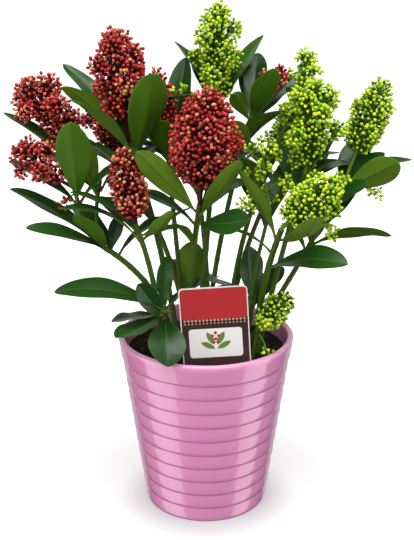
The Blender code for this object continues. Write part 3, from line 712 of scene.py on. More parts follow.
def bud_tree():
    """A bud at each point: `aim` is where its tip points and `size` its radius."""
    tree = Tree("buds", Segments="Int", Rings="Int", Stretch="Float", Skin="Material")
    ball = tree.get("MeshUVSphere", Segments=tree.given["Segments"], Rings=tree.given["Rings"], Radius=1.0)
    tall = tree.node("ShaderNodeCombineXYZ", X=1.0, Y=1.0, Z=tree.given["Stretch"]).outputs[0]
    turn = tree.node("FunctionNodeAlignRotationToVector", {"axis": "Z"},
                     Vector=tree.named("aim", "FLOAT_VECTOR")).outputs[0]
    size = tree.reckon(VECTOR, "SCALE", (1, 1, 1), tree.named("size"))
    return tree.finish(tree.get("InstanceOnPoints", Points=tree.given[0], Rotation=turn, Scale=size,
                                Instance=tree.get("Transform", Geometry=ball, Scale=tall)), ("Skin",))


def crumb_tree():
    """Crumbs and fibres strewn over the soil's upper faces."""
    tree = Tree("crumbs", Crumbs="Float", Fibres="Float", Crumb="Material", Fibre="Material")
    up = tree.node("ShaderNodeSeparateXYZ", Vector=tree.get("InputNormal")).outputs[2]
    upper = tree.reckon(COMPARE, "GREATER_THAN", up, 0.5)
    flat = tree.reckon(VECTOR, "MULTIPLY", tree.get("InputPosition"), (1.0, 1.0, 0.0))
    away = tree.reckon(VECTOR, "LENGTH", flat, out="Value")

    def strewn(label, seed, shape, low, high, tilt, reach):
        inside = tree.reckon(LOGIC, "AND", upper, tree.reckon(COMPARE, "LESS_THAN", away, reach * MM))
        spots = tree.get("DistributePointsOnFaces", Mesh=tree.given[0], Selection=inside,
                         Density=tree.given[label + "s"], Seed=seed)
        spin = tree.random((-tilt, -tilt, 0), (tilt, tilt, math.tau), seed + 1)
        scale = tree.random([v * MM for v in low], [v * MM for v in high], seed + 2)
        shapes = tree.get("InstanceOnPoints", Points=spots, Instance=shape, Rotation=spin, Scale=scale)
        return tree.get("SetMaterial", Geometry=tree.get("RealizeInstances", Geometry=shapes),
                        Material=tree.given[label])

    grain = tree.get("MeshIcoSphere", Radius=1.0, Subdivisions=1)
    stick = tree.get("MeshCone", Vertices=4, Radius_Top=0.5, Radius_Bottom=1.0, Depth=1.0)
    stick = tree.get("Transform", Geometry=stick, Rotation=(math.pi / 2, 0, 0))
    both = tree.node("GeometryNodeJoinGeometry")
    for shape in (strewn("Crumb", 5, grain, (0.7, 0.7, 0.7), (2.1, 1.7, 1.4), 3.0, 66),
                  strewn("Fibre", 11, stick, (0.3, 5, 0.3), (0.8, 13, 0.7), 0.25, 58)):
        tree.fill(both.inputs[0], shape)
    return tree.finish(both.outputs[0])


# Settings

def setting(kind, name, text, default, **more):
    return getattr(bpy.props, kind + "Property")(name=name, description=text, default=default, **more)


size = functools.partial(setting, "Float", unit="LENGTH", min=0.0, precision=5)
tint = functools.partial(setting, "FloatVector", subtype="COLOR", size=3, min=0.0, max=1.0)
number = functools.partial(setting, "Float")
whole = functools.partial(setting, "Int")


class SkimmiaPot(bpy.types.PropertyGroup):
    sides: whole("Sides", "Faces round the pot", 144, min=24)
    glaze: tint("Glaze", "Pink glaze of the pot", (0.70, 0.265, 0.48))
    # Darker pink for the grooves: painted shade under each rib.
    groove_shade: tint("Groove glaze", "Dimmer glaze in the grooves", (0.58, 0.18, 0.36))
    thin: tint("Thin glaze", "Thinner glaze on edges", (0.76, 0.34, 0.55))


class SkimmiaSoil(bpy.types.PropertyGroup):
    relief: size("Relief", "How far the soil's surface rises and falls", 2.2 * MM)
    crumbs: number("Crumbs", "Crumbs for each square metre", 190000)
    fibres: number("Fibres", "Fibres for each square metre", 16000)
    peat: tint("Peat", "Dark brown potting mix", (0.018, 0.011, 0.007))
    fibre: tint("Fibre", "Pale plant fibres in the mix", (0.10, 0.055, 0.025))


class SkimmiaLabel(bpy.types.PropertyGroup):
    card: tint("Card", "White edge and back of the card", (0.78, 0.77, 0.74))
    band: tint("Band", "Red band across the top", (0.44, 0.028, 0.032))
    ground: tint("Ground", "Dark brown lower part", (0.050, 0.026, 0.020))
    dots: tint("Dots", "Pale dots", (0.62, 0.36, 0.25))
    panel: tint("Panel", "White panel", (0.80, 0.80, 0.78))
    leaf: tint("Sprig leaves", "Green of the printed sprig", (0.13, 0.24, 0.04))
    berry: tint("Sprig buds", "Red of the printed sprig", (0.42, 0.03, 0.03))


class SkimmiaStems(bpy.types.PropertyGroup):
    ring: size("Ring", "Length of one ring of faces along a stem", 1.5 * MM)
    sides: whole("Sides", "Faces round a stem", 12, min=5)
    relief: size("Relief", "Depth of the bark's ridges", 0.35 * MM)
    internode: size("Internode", "Length between two leaf scars", 17 * MM)
    green: tint("Bark", "Green young bark", (0.048, 0.105, 0.008))
    scar: tint("Scar", "Reddish brown leaf scars", (0.12, 0.040, 0.018))


class SkimmiaLeaves(bpy.types.PropertyGroup):
    rows: whole("Rows", "Faces along a leaf", 30, min=8)
    thick: size("Thickness", "Thickness of a blade", 0.5 * MM)
    stalk_half: size("Stalk", "Half width of a leaf's stalk", 1.0 * MM)
    vein: size("Veins", "Depth of the side veins", 0.10 * MM)
    dark: tint("Upper side, dark", "Upper side of the older leaves", (0.009, 0.045, 0.006))
    middle: tint("Upper side, middle", "Upper side of most leaves", (0.014, 0.062, 0.007))
    fresh: tint("Upper side, fresh", "Upper side of the young leaves", (0.026, 0.090, 0.008))
    underside: tint("Underside", "Yellow-green underside", (0.115, 0.220, 0.014))
    underside_dark: tint("Underside, dark", "Underside of the older leaves", (0.056, 0.140, 0.005))
    rib: tint("Rib", "Pale midrib", (0.048, 0.120, 0.014))
    margin: tint("Margin", "Thin pale margin", (0.060, 0.140, 0.016))
    stalk: tint("Stalk colour", "Reddish stalk", (0.17, 0.13, 0.03))


class SkimmiaBuds(bpy.types.PropertyGroup):
    segments: whole("Segments", "Faces round a bud", 7, min=4)
    rings: whole("Rings", "Faces from a bud's foot to its tip", 5)
    stretch: number("Stretch", "Length of a bud over its width", 1.14, subtype="FACTOR")
    crimson: tint("Crimson", "Most red buds", (0.36, 0.015, 0.015))
    carmine: tint("Carmine", "Brighter red buds", (0.52, 0.032, 0.030))
    brick: tint("Brick", "Shaded red buds", (0.24, 0.018, 0.012))
    salmon: tint("Salmon", "Sunlit red buds", (0.62, 0.15, 0.085))
    tan: tint("Tan", "Tan buds among the red ones", (0.60, 0.29, 0.10))
    # Painted shade: near-black red for the buds deep inside.
    wine: tint("Wine", "Red buds deep inside", (0.055, 0.004, 0.003))
    lime: tint("Lime", "Brightest green buds", (0.56, 0.70, 0.018))
    yellow_green: tint("Yellow green", "Most green buds", (0.34, 0.54, 0.012))
    leaf_green: tint("Leaf green", "Shaded green buds", (0.16, 0.32, 0.008))
    # Painted shade: dark green for the buds deep inside.
    moss: tint("Moss", "Green buds deep inside", (0.030, 0.075, 0.004))
    red_wood: tint("Red branches", "Branches of the red panicles", (0.085, 0.010, 0.007))
    red_twig: tint("Red pedicels", "Bud stalks of the red panicles", (0.24, 0.045, 0.020))
    green_wood: tint("Green branches", "Branches of the green panicles", (0.12, 0.24, 0.016))
    green_twig: tint("Green pedicels", "Bud stalks of the green panicles", (0.22, 0.38, 0.024))


class SkimmiaStage(bpy.types.PropertyGroup):
    # The floor's own colour; its glow, set with the stage, whitens it away from the pot and leaves a painted
    # shadow near it.
    floor: tint("Floor", "Plain pale floor", (0.45, 0.45, 0.45))
    side: number("Side lights", "Brightness of the side softboxes", 2.2)
    top: number("Top light", "Brightness of the overhead softbox", 5.6)
    front: number("Front light", "Brightness of the softbox over the camera", 3.1)
    back: number("Back light", "Brightness of the wall behind", 0.6)
    world: number("Room light", "Strength of the even room light", 0.25)


GROUPS = {"skimmia_pot": SkimmiaPot, "skimmia_soil": SkimmiaSoil, "skimmia_label": SkimmiaLabel,
          "skimmia_stems": SkimmiaStems, "skimmia_leaves": SkimmiaLeaves, "skimmia_buds": SkimmiaBuds,
          "skimmia_stage": SkimmiaStage}


# Pot and soil

def outer_radius(height):
    """The pot's straight taper, without its ribs."""
    return FOOT_RADIUS + (RIM_RADIUS - FOOT_RADIUS) * height / POT_HEIGHT


def pot_profile():
    """(radius, height, glaze) from the axis under the pot, up its ribbed wall, over the lip and down inside.
    Glaze is 0 in the grooves, where its darker pink is painted shade, 0.5 on the faces and 1 where it thins
    on edges."""
    band, lip = POT_HEIGHT - RIM_BAND, 2.3
    low_lip, foot = POT_HEIGHT - lip, outer_radius(0)
    profile = [(0, 1.2, .5), (30, 1.2, .5)]
    for inset, height in ((6, 1.2), (5, 0.3), (4, 0), (2, 0), (1.2, 0.25)):
        profile.append((foot - inset, height, .5))
    for k in range(RIBS):
        for share in (0.0, 0.02, 0.05, 0.09, 0.14, 0.22, 0.34, 0.48, 0.62, 0.74, 0.85, 0.93, 0.98):
            height = max(band / RIBS * (k + share), 0.3)
            undercut = max(0.0, 1 - share / 0.20) ** 2
            fall = max(0.0, (share - 0.25) / 0.75) ** 1.8
            # A glaze value of 0.2 in the groove at the foot of each rib gives the darker pink of painted
            # shade there.
            profile.append((outer_radius(height) - 0.75 * undercut - 0.85 * fall, height,
                            0.2 if share < 0.03 else 0.5))
    rise = (low_lip - band - 3.0) / 4
    for lift, out in ((0.3, -0.55), (0.8, 0.1), (1.6, 0.4), *((3.0 + rise * i, 0.5) for i in range(4))):
        profile.append((outer_radius(band + lift) + out, band + lift, .5))
    for a in (math.pi * i / 8 for i in range(9)):
        profile.append((RIM_RADIUS - lip - 0.2 + (lip + 0.4) * math.cos(a), low_lip + lip * math.sin(a), .8))
    profile += [(outer_radius(height) - WALL, height, .5) for height in (145, 138, 120, 90, 60, 30, 12)]
    return profile + [(outer_radius(FLOOR) - WALL - 3, FLOOR, .5), (0, FLOOR, .5)]


def turned(name, profile, sides):
    """A turned solid whose profile starts and ends on the axis, and the profile's value at each point."""
    foot, *wall, tip = profile
    angles = [math.tau * k / sides for k in range(sides)]
    points = [(r * math.cos(a) * MM, r * math.sin(a) * MM, z * MM) for r, z, value in wall for a in angles]
    points = [(0, 0, foot[1] * MM), *points, (0, 0, tip[1] * MM)]
    faces, last = [], len(points) - 1 - sides
    for k in range(sides):
        m = (k + 1) % sides
        faces.append((0, 1 + m, 1 + k))
        faces += [(a + k, a + m, a + sides + m, a + sides + k) for a in range(1, last, sides)]
        faces.append((last + k, last + m, len(points) - 1))
    solid = Solid(name)
    solid.add(points, faces, 0)
    return solid, [foot[2], *(row[2] for row in wall for a in angles), tip[2]]


class SKIMMIA_OT_pot(bpy.types.Operator):
    """Turns the ribbed pot and gives it its pink glaze"""
    bl_idname = "skimmia.pot"
    bl_label = "Pot"

    def execute(self, context):
        look = context.scene.skimmia_pot
        solid, values = turned("glazed_pot", pot_profile(), look.sides)
        paint = Paint("pink_glaze", look.glaze, 0.36, Coat_Weight=1.0, Coat_Roughness=0.05,
                      Specular_IOR_Level=0.3)
        # The glaze value mixes the darker pink of painted shade into the grooves.
        shade_and_lip_value = paint.node("ShaderNodeAttribute", {"attribute_name": "glaze"}).outputs["Fac"]
        paint.vary_colour(shade_and_lip_value, [(0.0, look.groove_shade), (0.5, look.glaze), (1.0, look.thin)])
        obj = solid.make(paint.wear((35, 2), 0.34, 0.42, ((700, 2), 0.05, 0.2)))
        obj.data.attributes.new("glaze", "FLOAT", "POINT").data.foreach_set("value", values)
        put(obj, ["pot"])
        return {"FINISHED"}


class SKIMMIA_OT_soil(bpy.types.Operator):
    """Fills the pot with potting mix and strews it with crumbs and fibres"""
    bl_idname = "skimmia.soil"
    bl_label = "Soil"

    def surface(self, relief):
        """The mix as one closed body with an uneven top."""
        inner, rings = outer_radius(SOIL_LEVEL) - WALL - 2 * GAP / MM, 34
        profile = [(0, FLOOR + 0.3, 0), (outer_radius(FLOOR) - WALL - 3.6, FLOOR + 0.3, 0)]
        profile += [(outer_radius(h) - WALL - 0.6, h, 0) for h in (12, 60, 110, 132)]
        profile += [(inner * (1 - i / rings) ** 0.9, SOIL_LEVEL, 1) for i in range(rings)]
        profile.append((0, SOIL_LEVEL, 1))
        solid, tops = turned("potting_mix", profile, 96)
        for k, (x, y, z) in enumerate(solid.points):
            if tops[k]:
                spot = Vector((x, y, 0))
                edge = min(1.0, (inner * MM - spot.length) / (6 * MM))
                waves = 0.7 * noise.noise(spot * 55) + 0.45 * noise.noise(spot * 260)
                solid.points[k] = (x, y, z + relief * waves * max(edge, 0.0) - 1.2 * MM * (1 - edge))
        return solid

    def execute(self, context):
        look = context.scene.skimmia_soil
        peat = Paint("peat", look.peat, 0.95)
        peat.vary_colour(peat.noise(160, 5), [(0.3, (0.006, 0.004, 0.003)), (0.5, look.peat),
                                              (0.72, (0.055, 0.032, 0.018))])
        peat = peat.wear(None, 0, 0, ((420, 4), 1.2, 0.9))
        fibre = Paint("fibre", look.fibre, 0.85).wear((500, 2), 0.75, 0.95, ((900, 2, (1, 1, 0.2)), 0.2, 0.6))
        mix = self.surface(look.relief).make(peat)
        strewn = add_object("soil_crumbs", mix.data.copy())
        crumb_tree().run(strewn, Crumbs=look.crumbs, Fibres=look.fibres, Crumb=peat, Fibre=fibre)
        put(mix, ["soil"])
        put(strewn, ["soil"])
        return {"FINISHED"}


# Plant label

def corners(*spots):
    """A quarter turn round each (x, z, radius, first angle), joined into one outline."""
    return [(x + r * math.cos(a), z + r * math.sin(a)) for x, z, r, begin in spots
            for a in (math.radians(begin + 15 * i) for i in range(7))]


def rounded(x, z, wide, high, r):
    return corners((x + wide - r, z + r, r, -90), (x + wide - r, z + high - r, r, 0),
                   (x + r, z + high - r, r, 90), (x + r, z + r, r, 180))


def disc(x, z, wide, high=None, turn=0.0, sides=18, point=0.0):
    """A round or pointed spot; point pulls its ends out as on a leaf."""
    line, c, s = [], math.cos(math.radians(turn)), math.sin(math.radians(turn))
    for a in (math.tau * i / sides for i in range(sides)):
        dx, dz = math.cos(a) * wide, math.sin(a) * (high or wide) * (1 - point * abs(math.cos(a)) ** 3)
        line.append((x + dx * c - dz * s, z + dx * s + dz * c))
    return line


def card_outline():
    """The card with round corners and its pointed stake, anticlockwise from the front."""
    w, h, r, sw = LABEL_WIDE / 2, LABEL_HIGH, LABEL_CORNER, STAKE_WIDE / 2
    stake = [(-sw, 0), (-sw + 1, -STAKE_DEEP + 6), (0, -STAKE_DEEP), (sw - 1, -STAKE_DEEP + 6), (sw, 0)]
    card = corners((w - 1, 1, 1, -90), (w - r, h - r, r, 0), (-w + r, h - r, r, 90), (-w + 1, 1, 1, 180))
    return stake + card


class SKIMMIA_OT_label(bpy.types.Operator):
    """Cuts the plant label with its stake and prints a plain generic pattern on it"""
    bl_idname = "skimmia.label"
    bl_label = "Plant label"

    def execute(self, context):
        look = context.scene.skimmia_label
        names = ("card", "band", "ground", "dots", "panel", "leaf", "berry")
        solid, front = Solid("plant_label"), -LABEL_THICK / 2
        place = Matrix.Translation(LABEL_FOOT * MM) @ Matrix.Rotation(math.radians(LABEL_TILT), 4, "Y")

        def slab(line, name, high, back=front):
            """An outline in the card's plane, raised in front of it by its height."""
            rings = [[place @ (Vector((x, y, z)) * MM) for x, z in line] for y in (back, front - high)]
            solid.add(*skin(rings), names.index(name))

        w, h = LABEL_WIDE / 2, LABEL_HIGH
        slab(card_outline(), "card", 0.0, LABEL_THICK / 2)
        slab(rounded(-w + .9, .9, LABEL_WIDE - 1.8, h - 1.8, 2.8), "ground", 0.10)
        slab(rounded(-w + .9, h - 27, LABEL_WIDE - 1.8, 26.1, 2.8), "band", 0.16)
        for row, k in itertools.product(range(3), range(17)):
            spot = disc(-w + 3.5 + 3 * k, h - 25.2 - 2.6 * row, 1.15 - 0.25 * row, sides=10)
            slab(spot, "dots" if row else "band", 0.22)
        slab(rounded(-w + 6, 9, LABEL_WIDE - 12, 25, 2.5), "panel", 0.16)
        for turn, x, z in ((28, 6.5, 19.5), (152, -6.5, 19.5), (62, 4.2, 25.5), (118, -4.2, 25.5)):
            slab(disc(x, z, 6.2, 2.3, turn, 20, 0.6), "leaf", 0.22)
        for x, z in ((0, 25), (-2.6, 27.6), (2.6, 27.6), (0, 30.2), (-1.6, 22.2), (1.6, 22.2)):
            slab(disc(x, z, 1.35, sides=14), "berry", 0.27)
        prints = [Paint("label_" + name, getattr(look, name), 0.36, Coat_Weight=0.3, Coat_Roughness=0.12)
                  for name in names]
        obj = solid.make(*(paint.wear((300, 2), 0.30, 0.42, ((1500, 2), 0.03, 0.4)) for paint in prints))
        obj.data.shade_flat()
        put(obj, ["label"])
        return {"FINISHED"}


# Stems

class SKIMMIA_OT_stems(bpy.types.Operator):
    """Grows the stems from the soil to the flower clusters, with bark ridges and leaf scars"""
    bl_idname = "skimmia.stems"
    bl_label = "Stems"

    def execute(self, context):
        look = context.scene.skimmia_stems
        points, edges, thick, tints = [], [], [], []
        rng = random.Random(7)
        for limb in plant().limbs.values():
            rings = max(4, round(limb.length / look.ring))
            path = [along(limb, limb.length * i / rings) for i in range(rings + 1)]
            if limb.fork is not None:
                path = [limb.fork.lerp(path[0], i / 8) for i in range(8)] + path
            else:
                path = [path[0] - Vector((0, 0, deep * MM)) for deep in (3, 1.5)] + path
            begin = rng.uniform(0.2, 0.8) * look.internode
            run = 0.0
            for k, p in enumerate(path):
                if k:
                    run += (p - path[k - 1]).length
                    edges.append((len(points) - 1, len(points)))
                radius = limb.r_foot + (limb.r_top - limb.r_foot) * min(run / limb.length, 1.0)
                if limb.fork is None:
                    radius *= 1 + 0.38 * math.exp(-run / (7 * MM))
                scar = abs((run - begin + look.internode / 2) % look.internode - look.internode / 2)
                radius *= 1 + 0.10 * math.exp(-(scar / (1.3 * MM)) ** 2)
                radius *= 1 + 0.03 * noise.noise(Vector((p.x * 90, p.y * 90, p.z * 60)))
                points.append(p)
                thick.append(radius)
                tints.append(1.0 if scar < 0.9 * MM and run > 12 * MM else 0.0)
        obj = seeds("stems", points, edges, thick=thick, tint=tints)
        twig_tree().run(obj, Sides=look.sides, Relief=look.relief, Wood=bark_paint("green_bark", look.green),
                        Accent=bark_paint("leaf_scar", look.scar, 0.6))
        put(obj, cad_nodes("stem_"))
        return {"FINISHED"}


# Leaves

ACROSS = (-1, -.955, -.80, -.62, -.42, -.21, -.035, .035, .21, .42, .62, .80, .955, 1)
LEAF_SKINS = (("dark", 0.32, 0.18), ("middle", 0.34, 0.15), ("fresh", 0.36, 0.12), ("underside", 0.52),
              ("underside_dark", 0.52), ("rib", 0.45), ("margin", 0.45), ("stalk", 0.5))
TOPS, UNDERSIDES, RIB, MARGIN, STALK = (0, 1, 2), (3, 4), 5, 6, 7


def smooth(low, high, value):
    t = np.clip((value - low) / (high - low), 0, 1)
    return t * t * (3 - 2 * t)


def blade(base, turn, rise, length, width, arch, roll, look, rng, top, under):
    """One leaf as a thin closed shell: stalk, folded and slightly waved blade, midrib and side veins."""
    d = np.array(direction(turn, rise))
    n = np.array(Matrix.Rotation(math.radians(roll), 3, Vector(d)) @ direction(turn, rise + 90))
    s = np.cross(d, n)
    long, half = length * MM, width * MM / 2
    even = np.linspace(0, 1, look.rows + 1)
    t = (0.6 * even + 0.4 * (0.5 - 0.5 * np.cos(np.pi * even)))[:, None]
    u = np.array(ACROSS)[None, :]
    a = np.abs(u)
    wide = np.sin(np.pi * np.clip((t - 0.07) / 0.93, 0, 1) ** 1.42) ** 0.62
    h = np.sqrt((look.stalk_half * (1 - t) ** 2) ** 2 + (half * wide) ** 2) + 0.12 * MM
    fold = LEAF_FOLD * rng.uniform(0.65, 1.25)
    curl, bow = rng.uniform(-0.010, 0.035), rng.uniform(-0.018, 0.018)
    twist = math.radians(rng.uniform(-12, 12))
    waves, swell = rng.uniform(1.4, 2.4), rng.uniform(0.35, 0.95) * MM
    phase = np.where(u < 0, rng.uniform(0, 6.3), rng.uniform(0, 6.3))
    centre = (np.array(base)[None, :] + d * (long * t) + s * (bow * long * np.sin(np.pi * t))
              + n * (arch * long * 4 * t * (1 - t) - curl * long * smooth(0.55, 1.0, t) ** 1.5))
    angle = twist * (t - 0.15)
    side = s * np.cos(angle) + n * np.sin(angle)
    up = n * np.cos(angle) - s * np.sin(angle)
    lift = fold * h * a * (1.22 - 0.27 * a) + swell * a ** 2 * np.sin(2 * np.pi * waves * t + phase) * wide
    vein = look.vein * np.cos(2 * np.pi * (7 * t - 1.1 * a)) * 4 * a * (1 - a) * wide
    grid = (centre[:, None, :] + side[:, None, :] * (u * h)[..., None]
            + up[:, None, :] * (lift + vein)[..., None])
    normal = np.cross(np.gradient(grid, axis=1), np.gradient(grid, axis=0))
    normal /= np.maximum(np.linalg.norm(normal, axis=2, keepdims=True), 1e-12)
    ridge = np.exp(-(a / 0.09) ** 2) * (1 - t) * 0.75 * MM
    deep = look.thick * (1 - 0.35 * a) + ridge + 1.0 * MM * (1 - smooth(0.02, 0.16, t)) * (1 - a ** 2)
    below = grid - normal * deep[..., None]
    rows, cols = look.rows + 1, len(ACROSS)
    points = grid.reshape(-1, 3).tolist() + below[:, 1:-1].reshape(-1, 3).tolist()
    upper = np.arange(rows * cols).reshape(rows, cols)
    lower = upper.copy()
    lower[:, 1:-1] = rows * cols + np.arange(rows * (cols - 2)).reshape(rows, -1)
    faces, finish = [], []
    for i, j in itertools.product(range(rows - 1), range(cols - 1)):
        for half_shell, plain, order in ((upper, top, (0, 1, 3, 2)), (lower, under, (2, 3, 1, 0))):
            faces.append(tuple(half_shell[i:i + 2, j:j + 2].ravel()[list(order)].tolist()))
            if t[i, 0] < 0.055:
                finish.append(STALK)
            elif j == cols // 2 - 1:
                finish.append(RIB)
            else:
                finish.append(MARGIN if j in (0, cols - 2) else plain)
    for i, end in ((0, STALK), (rows - 1, top)):
        rim = [*upper[i].tolist(), *lower[i, -2:0:-1].tolist()]
        faces.append(tuple(rim if i else rim[::-1]))
        finish.append(end)
    return points, faces, finish


def is_green(node):
    return "green" in node or "right" in node


@functools.cache
def leaf_solids():
    """The joined leaves of the red-budded and of the green-budded plant."""
    look = bpy.context.scene.skimmia_leaves
    solids = {colour: Solid("leaves_of_{}_plant".format(colour)) for colour in ("red", "green")}
    rng = random.Random(12)
    for node, *spot in plant().leaves:
        top, under = rng.choices(TOPS, (3, 5, 2))[0], rng.choices(UNDERSIDES, (3, 2))[0]
        solids["green" if is_green(node) else "red"].add(*blade(*spot, look, rng, top, under))
    return solids


class SKIMMIA_OT_leaves(bpy.types.Operator):
    """Grows every leaf as its own glossy blade and joins them by plant"""
    bl_idname = "skimmia.leaves"
    bl_label = "Leaves"

    def execute(self, context):
        look = context.scene.skimmia_leaves
        paints = [leaf_paint("leaf_" + name, getattr(look, name), *gloss) for name, *gloss in LEAF_SKINS]
        for colour, solid in leaf_solids().items():
            nodes = [n for n in cad_nodes("leaves_") if is_green(n) == (colour == "green")]
            put(solid.make(*paints), nodes)
        return {"FINISHED"}


# Buds and their twigs

def fan(axis, cosine, turn):
    """The direction that leans off an axis by an angle, given its cosine, and is turned round it."""
    side, spin = axis.orthogonal().normalized(), math.radians(turn)
    out = side * math.cos(spin) + axis.cross(side) * math.sin(spin)
    return axis * cosine + out * math.sqrt(max(0.0, 1 - cosine ** 2))


class Crowd:
    """Remembers where buds stand, in cells, so that the next one keeps its distance."""

    def __init__(self):
        self.cells = {}

    @staticmethod
    def cell(p):
        return tuple(int(c // (4 * MM)) for c in p)

    def near(self, p, distance):
        x, y, z = self.cell(p)
        return any((q - p).length < distance for i, j, k in itertools.product((-1, 0, 1), repeat=3)
                   for q in self.cells.get((x + i, y + j, z + k), ()))

    def add(self, p):
        self.cells.setdefault(self.cell(p), []).append(p)


class Panicles:
    """Every bud and twig of the flower clusters."""

    def __init__(self):
        self.buds = {name: ([], [], []) for names in BUD_COLOURS.values() for name in names}
        self.twigs = {colour: ([], [], [], []) for colour in BUD_COLOURS}
        self.crowd, self.outer, self.rng = Crowd(), Crowd(), random.Random(23)
        blades = [BVHTree.FromPolygons(solid.points, solid.faces) for solid in leaf_solids().values()]
        things = [BVHTree.FromPolygons(*node_piece(name)) for name in ("pot", "label", *cad_nodes("stem_"))]
        self.walls = [(tree, 0.25 * MM) for tree in blades] + [(tree, 0.2 * MM) for tree in things]
        for cluster in plant().clusters:
            self.dress(cluster)
        for row in SPRIGS:
            self.sprig(*row)

    def twig(self, colour, points, radii, tint=0.0):
        places, edges, thick, tints = self.twigs[colour]
        edges += [(k, k + 1) for k in range(len(places), len(places) + len(points) - 1)]
        places += points
        thick += [r * MM for r in radii]
        tints += [tint] * len(points)

    def free(self, p, radius):
        return not self.crowd.near(p, radius * 1.86) and all(
            tree.find_nearest(p, radius + room)[0] is None for tree, room in self.walls)

    def bud(self, c, paint, p, source, deep=False):
        """Sets a bud on its stalk from source, if there is room for it."""
        rng = self.rng
        radius = c.rule["bud"] * MM * max(0.80, min(1.20, rng.gauss(1.0, 0.085)))
        if not self.free(p, radius) or not deep and self.outer.near(p, c.rule["gap"] * MM):
            return
        self.crowd.add(p)
        if not deep:
            self.outer.add(p)
        sway = Vector((rng.uniform(-.25, .25), rng.uniform(-.25, .25), rng.uniform(-.1, .3)))
        aim = ((p - source).normalized() + sway).normalized()
        # A deep bud takes the dark colour of painted shade.
        for values, value in zip(self.buds[DEEP_SHADE[c.colour] if deep else paint], (p, aim, radius)):
            values.append(value)
        foot = p - aim * radius * 0.9
        if deep:
            self.twig(c.colour, [source, foot], [0.42, 0.34])
        else:
            middle = source.lerp(foot, 0.55) + aim * (0.15 * (foot - source).length) - (p - source) * 0.1
            self.twig(c.colour, [source, middle, foot], [0.36, 0.32, 0.44], 1.0)

    def pick(self, c):
        shares = TAN_SHARES if c.node == "buds_red_low" else BUD_SHARES[c.colour]
        return self.rng.choices(BUD_COLOURS[c.colour], shares)[0]

    def dress(self, c):
        spine = [c.base - c.heading * 1.5 * MM, c.base + c.heading * 3 * MM]
        spine += [c.base + c.axis * c.length * share for share in (0.25, 0.5, 0.75)]
        spine.append(c.base + c.axis * (c.length - 7 * MM))
        self.twig(c.colour, spine, [c.stem * share for share in (1, 0.95, 0.85, 0.72, 0.55)] + [0.55])
        full = OPEN.get(c.node, 1.0)
        for g in c.groups:
            self.group(c, g, full)
        if full >= 0.7:
            self.middle(c)

    def group(self, c, g, full):
        """One group of buds: a branch, a few branchlets and a cap of buds on them."""
        rule, rng = c.rule, self.rng
        hub = g.spot - g.ray * g.radius * 0.5
        down = min(0.45 * (hub - g.root).length, max((g.root - c.low).dot(c.axis), 0.0) + 3 * MM)
        foot = g.root - c.axis * down
        bow = foot.lerp(hub, 0.5) + c.axis * down * 0.12 - g.ray * 0.3 * MM
        self.twig(c.colour, [foot, bow, hub], [rule["twig"] * share for share in (1, 0.85, 0.7)])
        cap = 1 - math.cos(math.radians(rule["cap"]))
        count = max(4, round(math.tau * g.radius ** 2 * cap / (0.866 * (rule["tuft"] * MM) ** 2)))
        paint, turn = self.pick(c), rng.uniform(0, 360)
        others = [other for other in c.groups if other is not g]
        for i in range(count):
            if rng.random() > full:
                continue
            out = fan(g.ray, 1 - cap * (i + 0.5) / count, turn + GOLDEN * i)
            end = g.spot + out * (g.radius * rng.uniform(0.90, 1.06) - 0.8 * rule["arm"] * MM)
            end += Vector(rng.uniform(-.7, .7) * MM for k in range(3))
            high = max(0.0, (end - c.low).dot(c.axis) / c.height - 0.45)
            end += (c.low + c.axis * (end - c.low).dot(c.axis) - end) * high * CONE.get(c.node, 0.0)
            if not any((end - other.spot).length < 0.7 * other.radius for other in others):
                self.tuft(c, hub, end, out, paint)
        # Buds inside the group, in the dark colour of painted shade.
        inner = round(count * 1.1 * full ** 2)
        for i in range(inner):
            out = fan(g.ray, 1 - 1.9 * (i + 0.5) / inner, turn + GOLDEN * i)
            self.bud(c, None, g.spot + out * g.radius * rng.uniform(0.35, 0.66), hub, True)

    def tuft(self, c, hub, end, out, paint):
        """A branchlet from the hub and a few buds on stalks at its end."""
        rule, rng = c.rule, self.rng
        bow = hub.lerp(end, 0.5) + out * 0.5 * MM
        self.twig(c.colour, [hub, bow, end], [rule["twig"] * share for share in (0.62, 0.55, 0.5)])
        turn = rng.uniform(0, 360)
        for i in range(rule["heads"]):
            aim = fan(out, 1 - 1.15 * i / rule["heads"] * rng.uniform(0.85, 1.1), turn + GOLDEN * i)
            mine = paint if rng.random() < 0.22 else self.pick(c)
            self.bud(c, mine, end + aim * rule["arm"] * MM * rng.uniform(0.82, 1.22), end)

    def sprig(self, colour, foot, tip, count):
        """A loose spray: a bent twig with tufts of buds along its outer half."""
        foot, tip = Vector(foot) * MM, Vector(tip) * MM
        way, c = tip - foot, SimpleNamespace(colour=colour, node="sprig", rule=BUD_RULE[colour])
        side = way.orthogonal().normalized()
        path = [foot, foot.lerp(tip, 0.5) + Vector((0, 0, 1.2 * MM)), tip]
        self.twig(colour, path, [0.75, 0.65, 0.45])
        for i in range(count):
            share = 0.45 + 0.55 * (i + 1) / count
            out = way.normalized() + Matrix.Rotation(math.radians(GOLDEN * i), 3, way) @ side
            end = foot.lerp(tip, share) + out * 2.5 * MM
            self.tuft(c, foot.lerp(tip, share - 0.12), end, out.normalized(), self.pick(c))

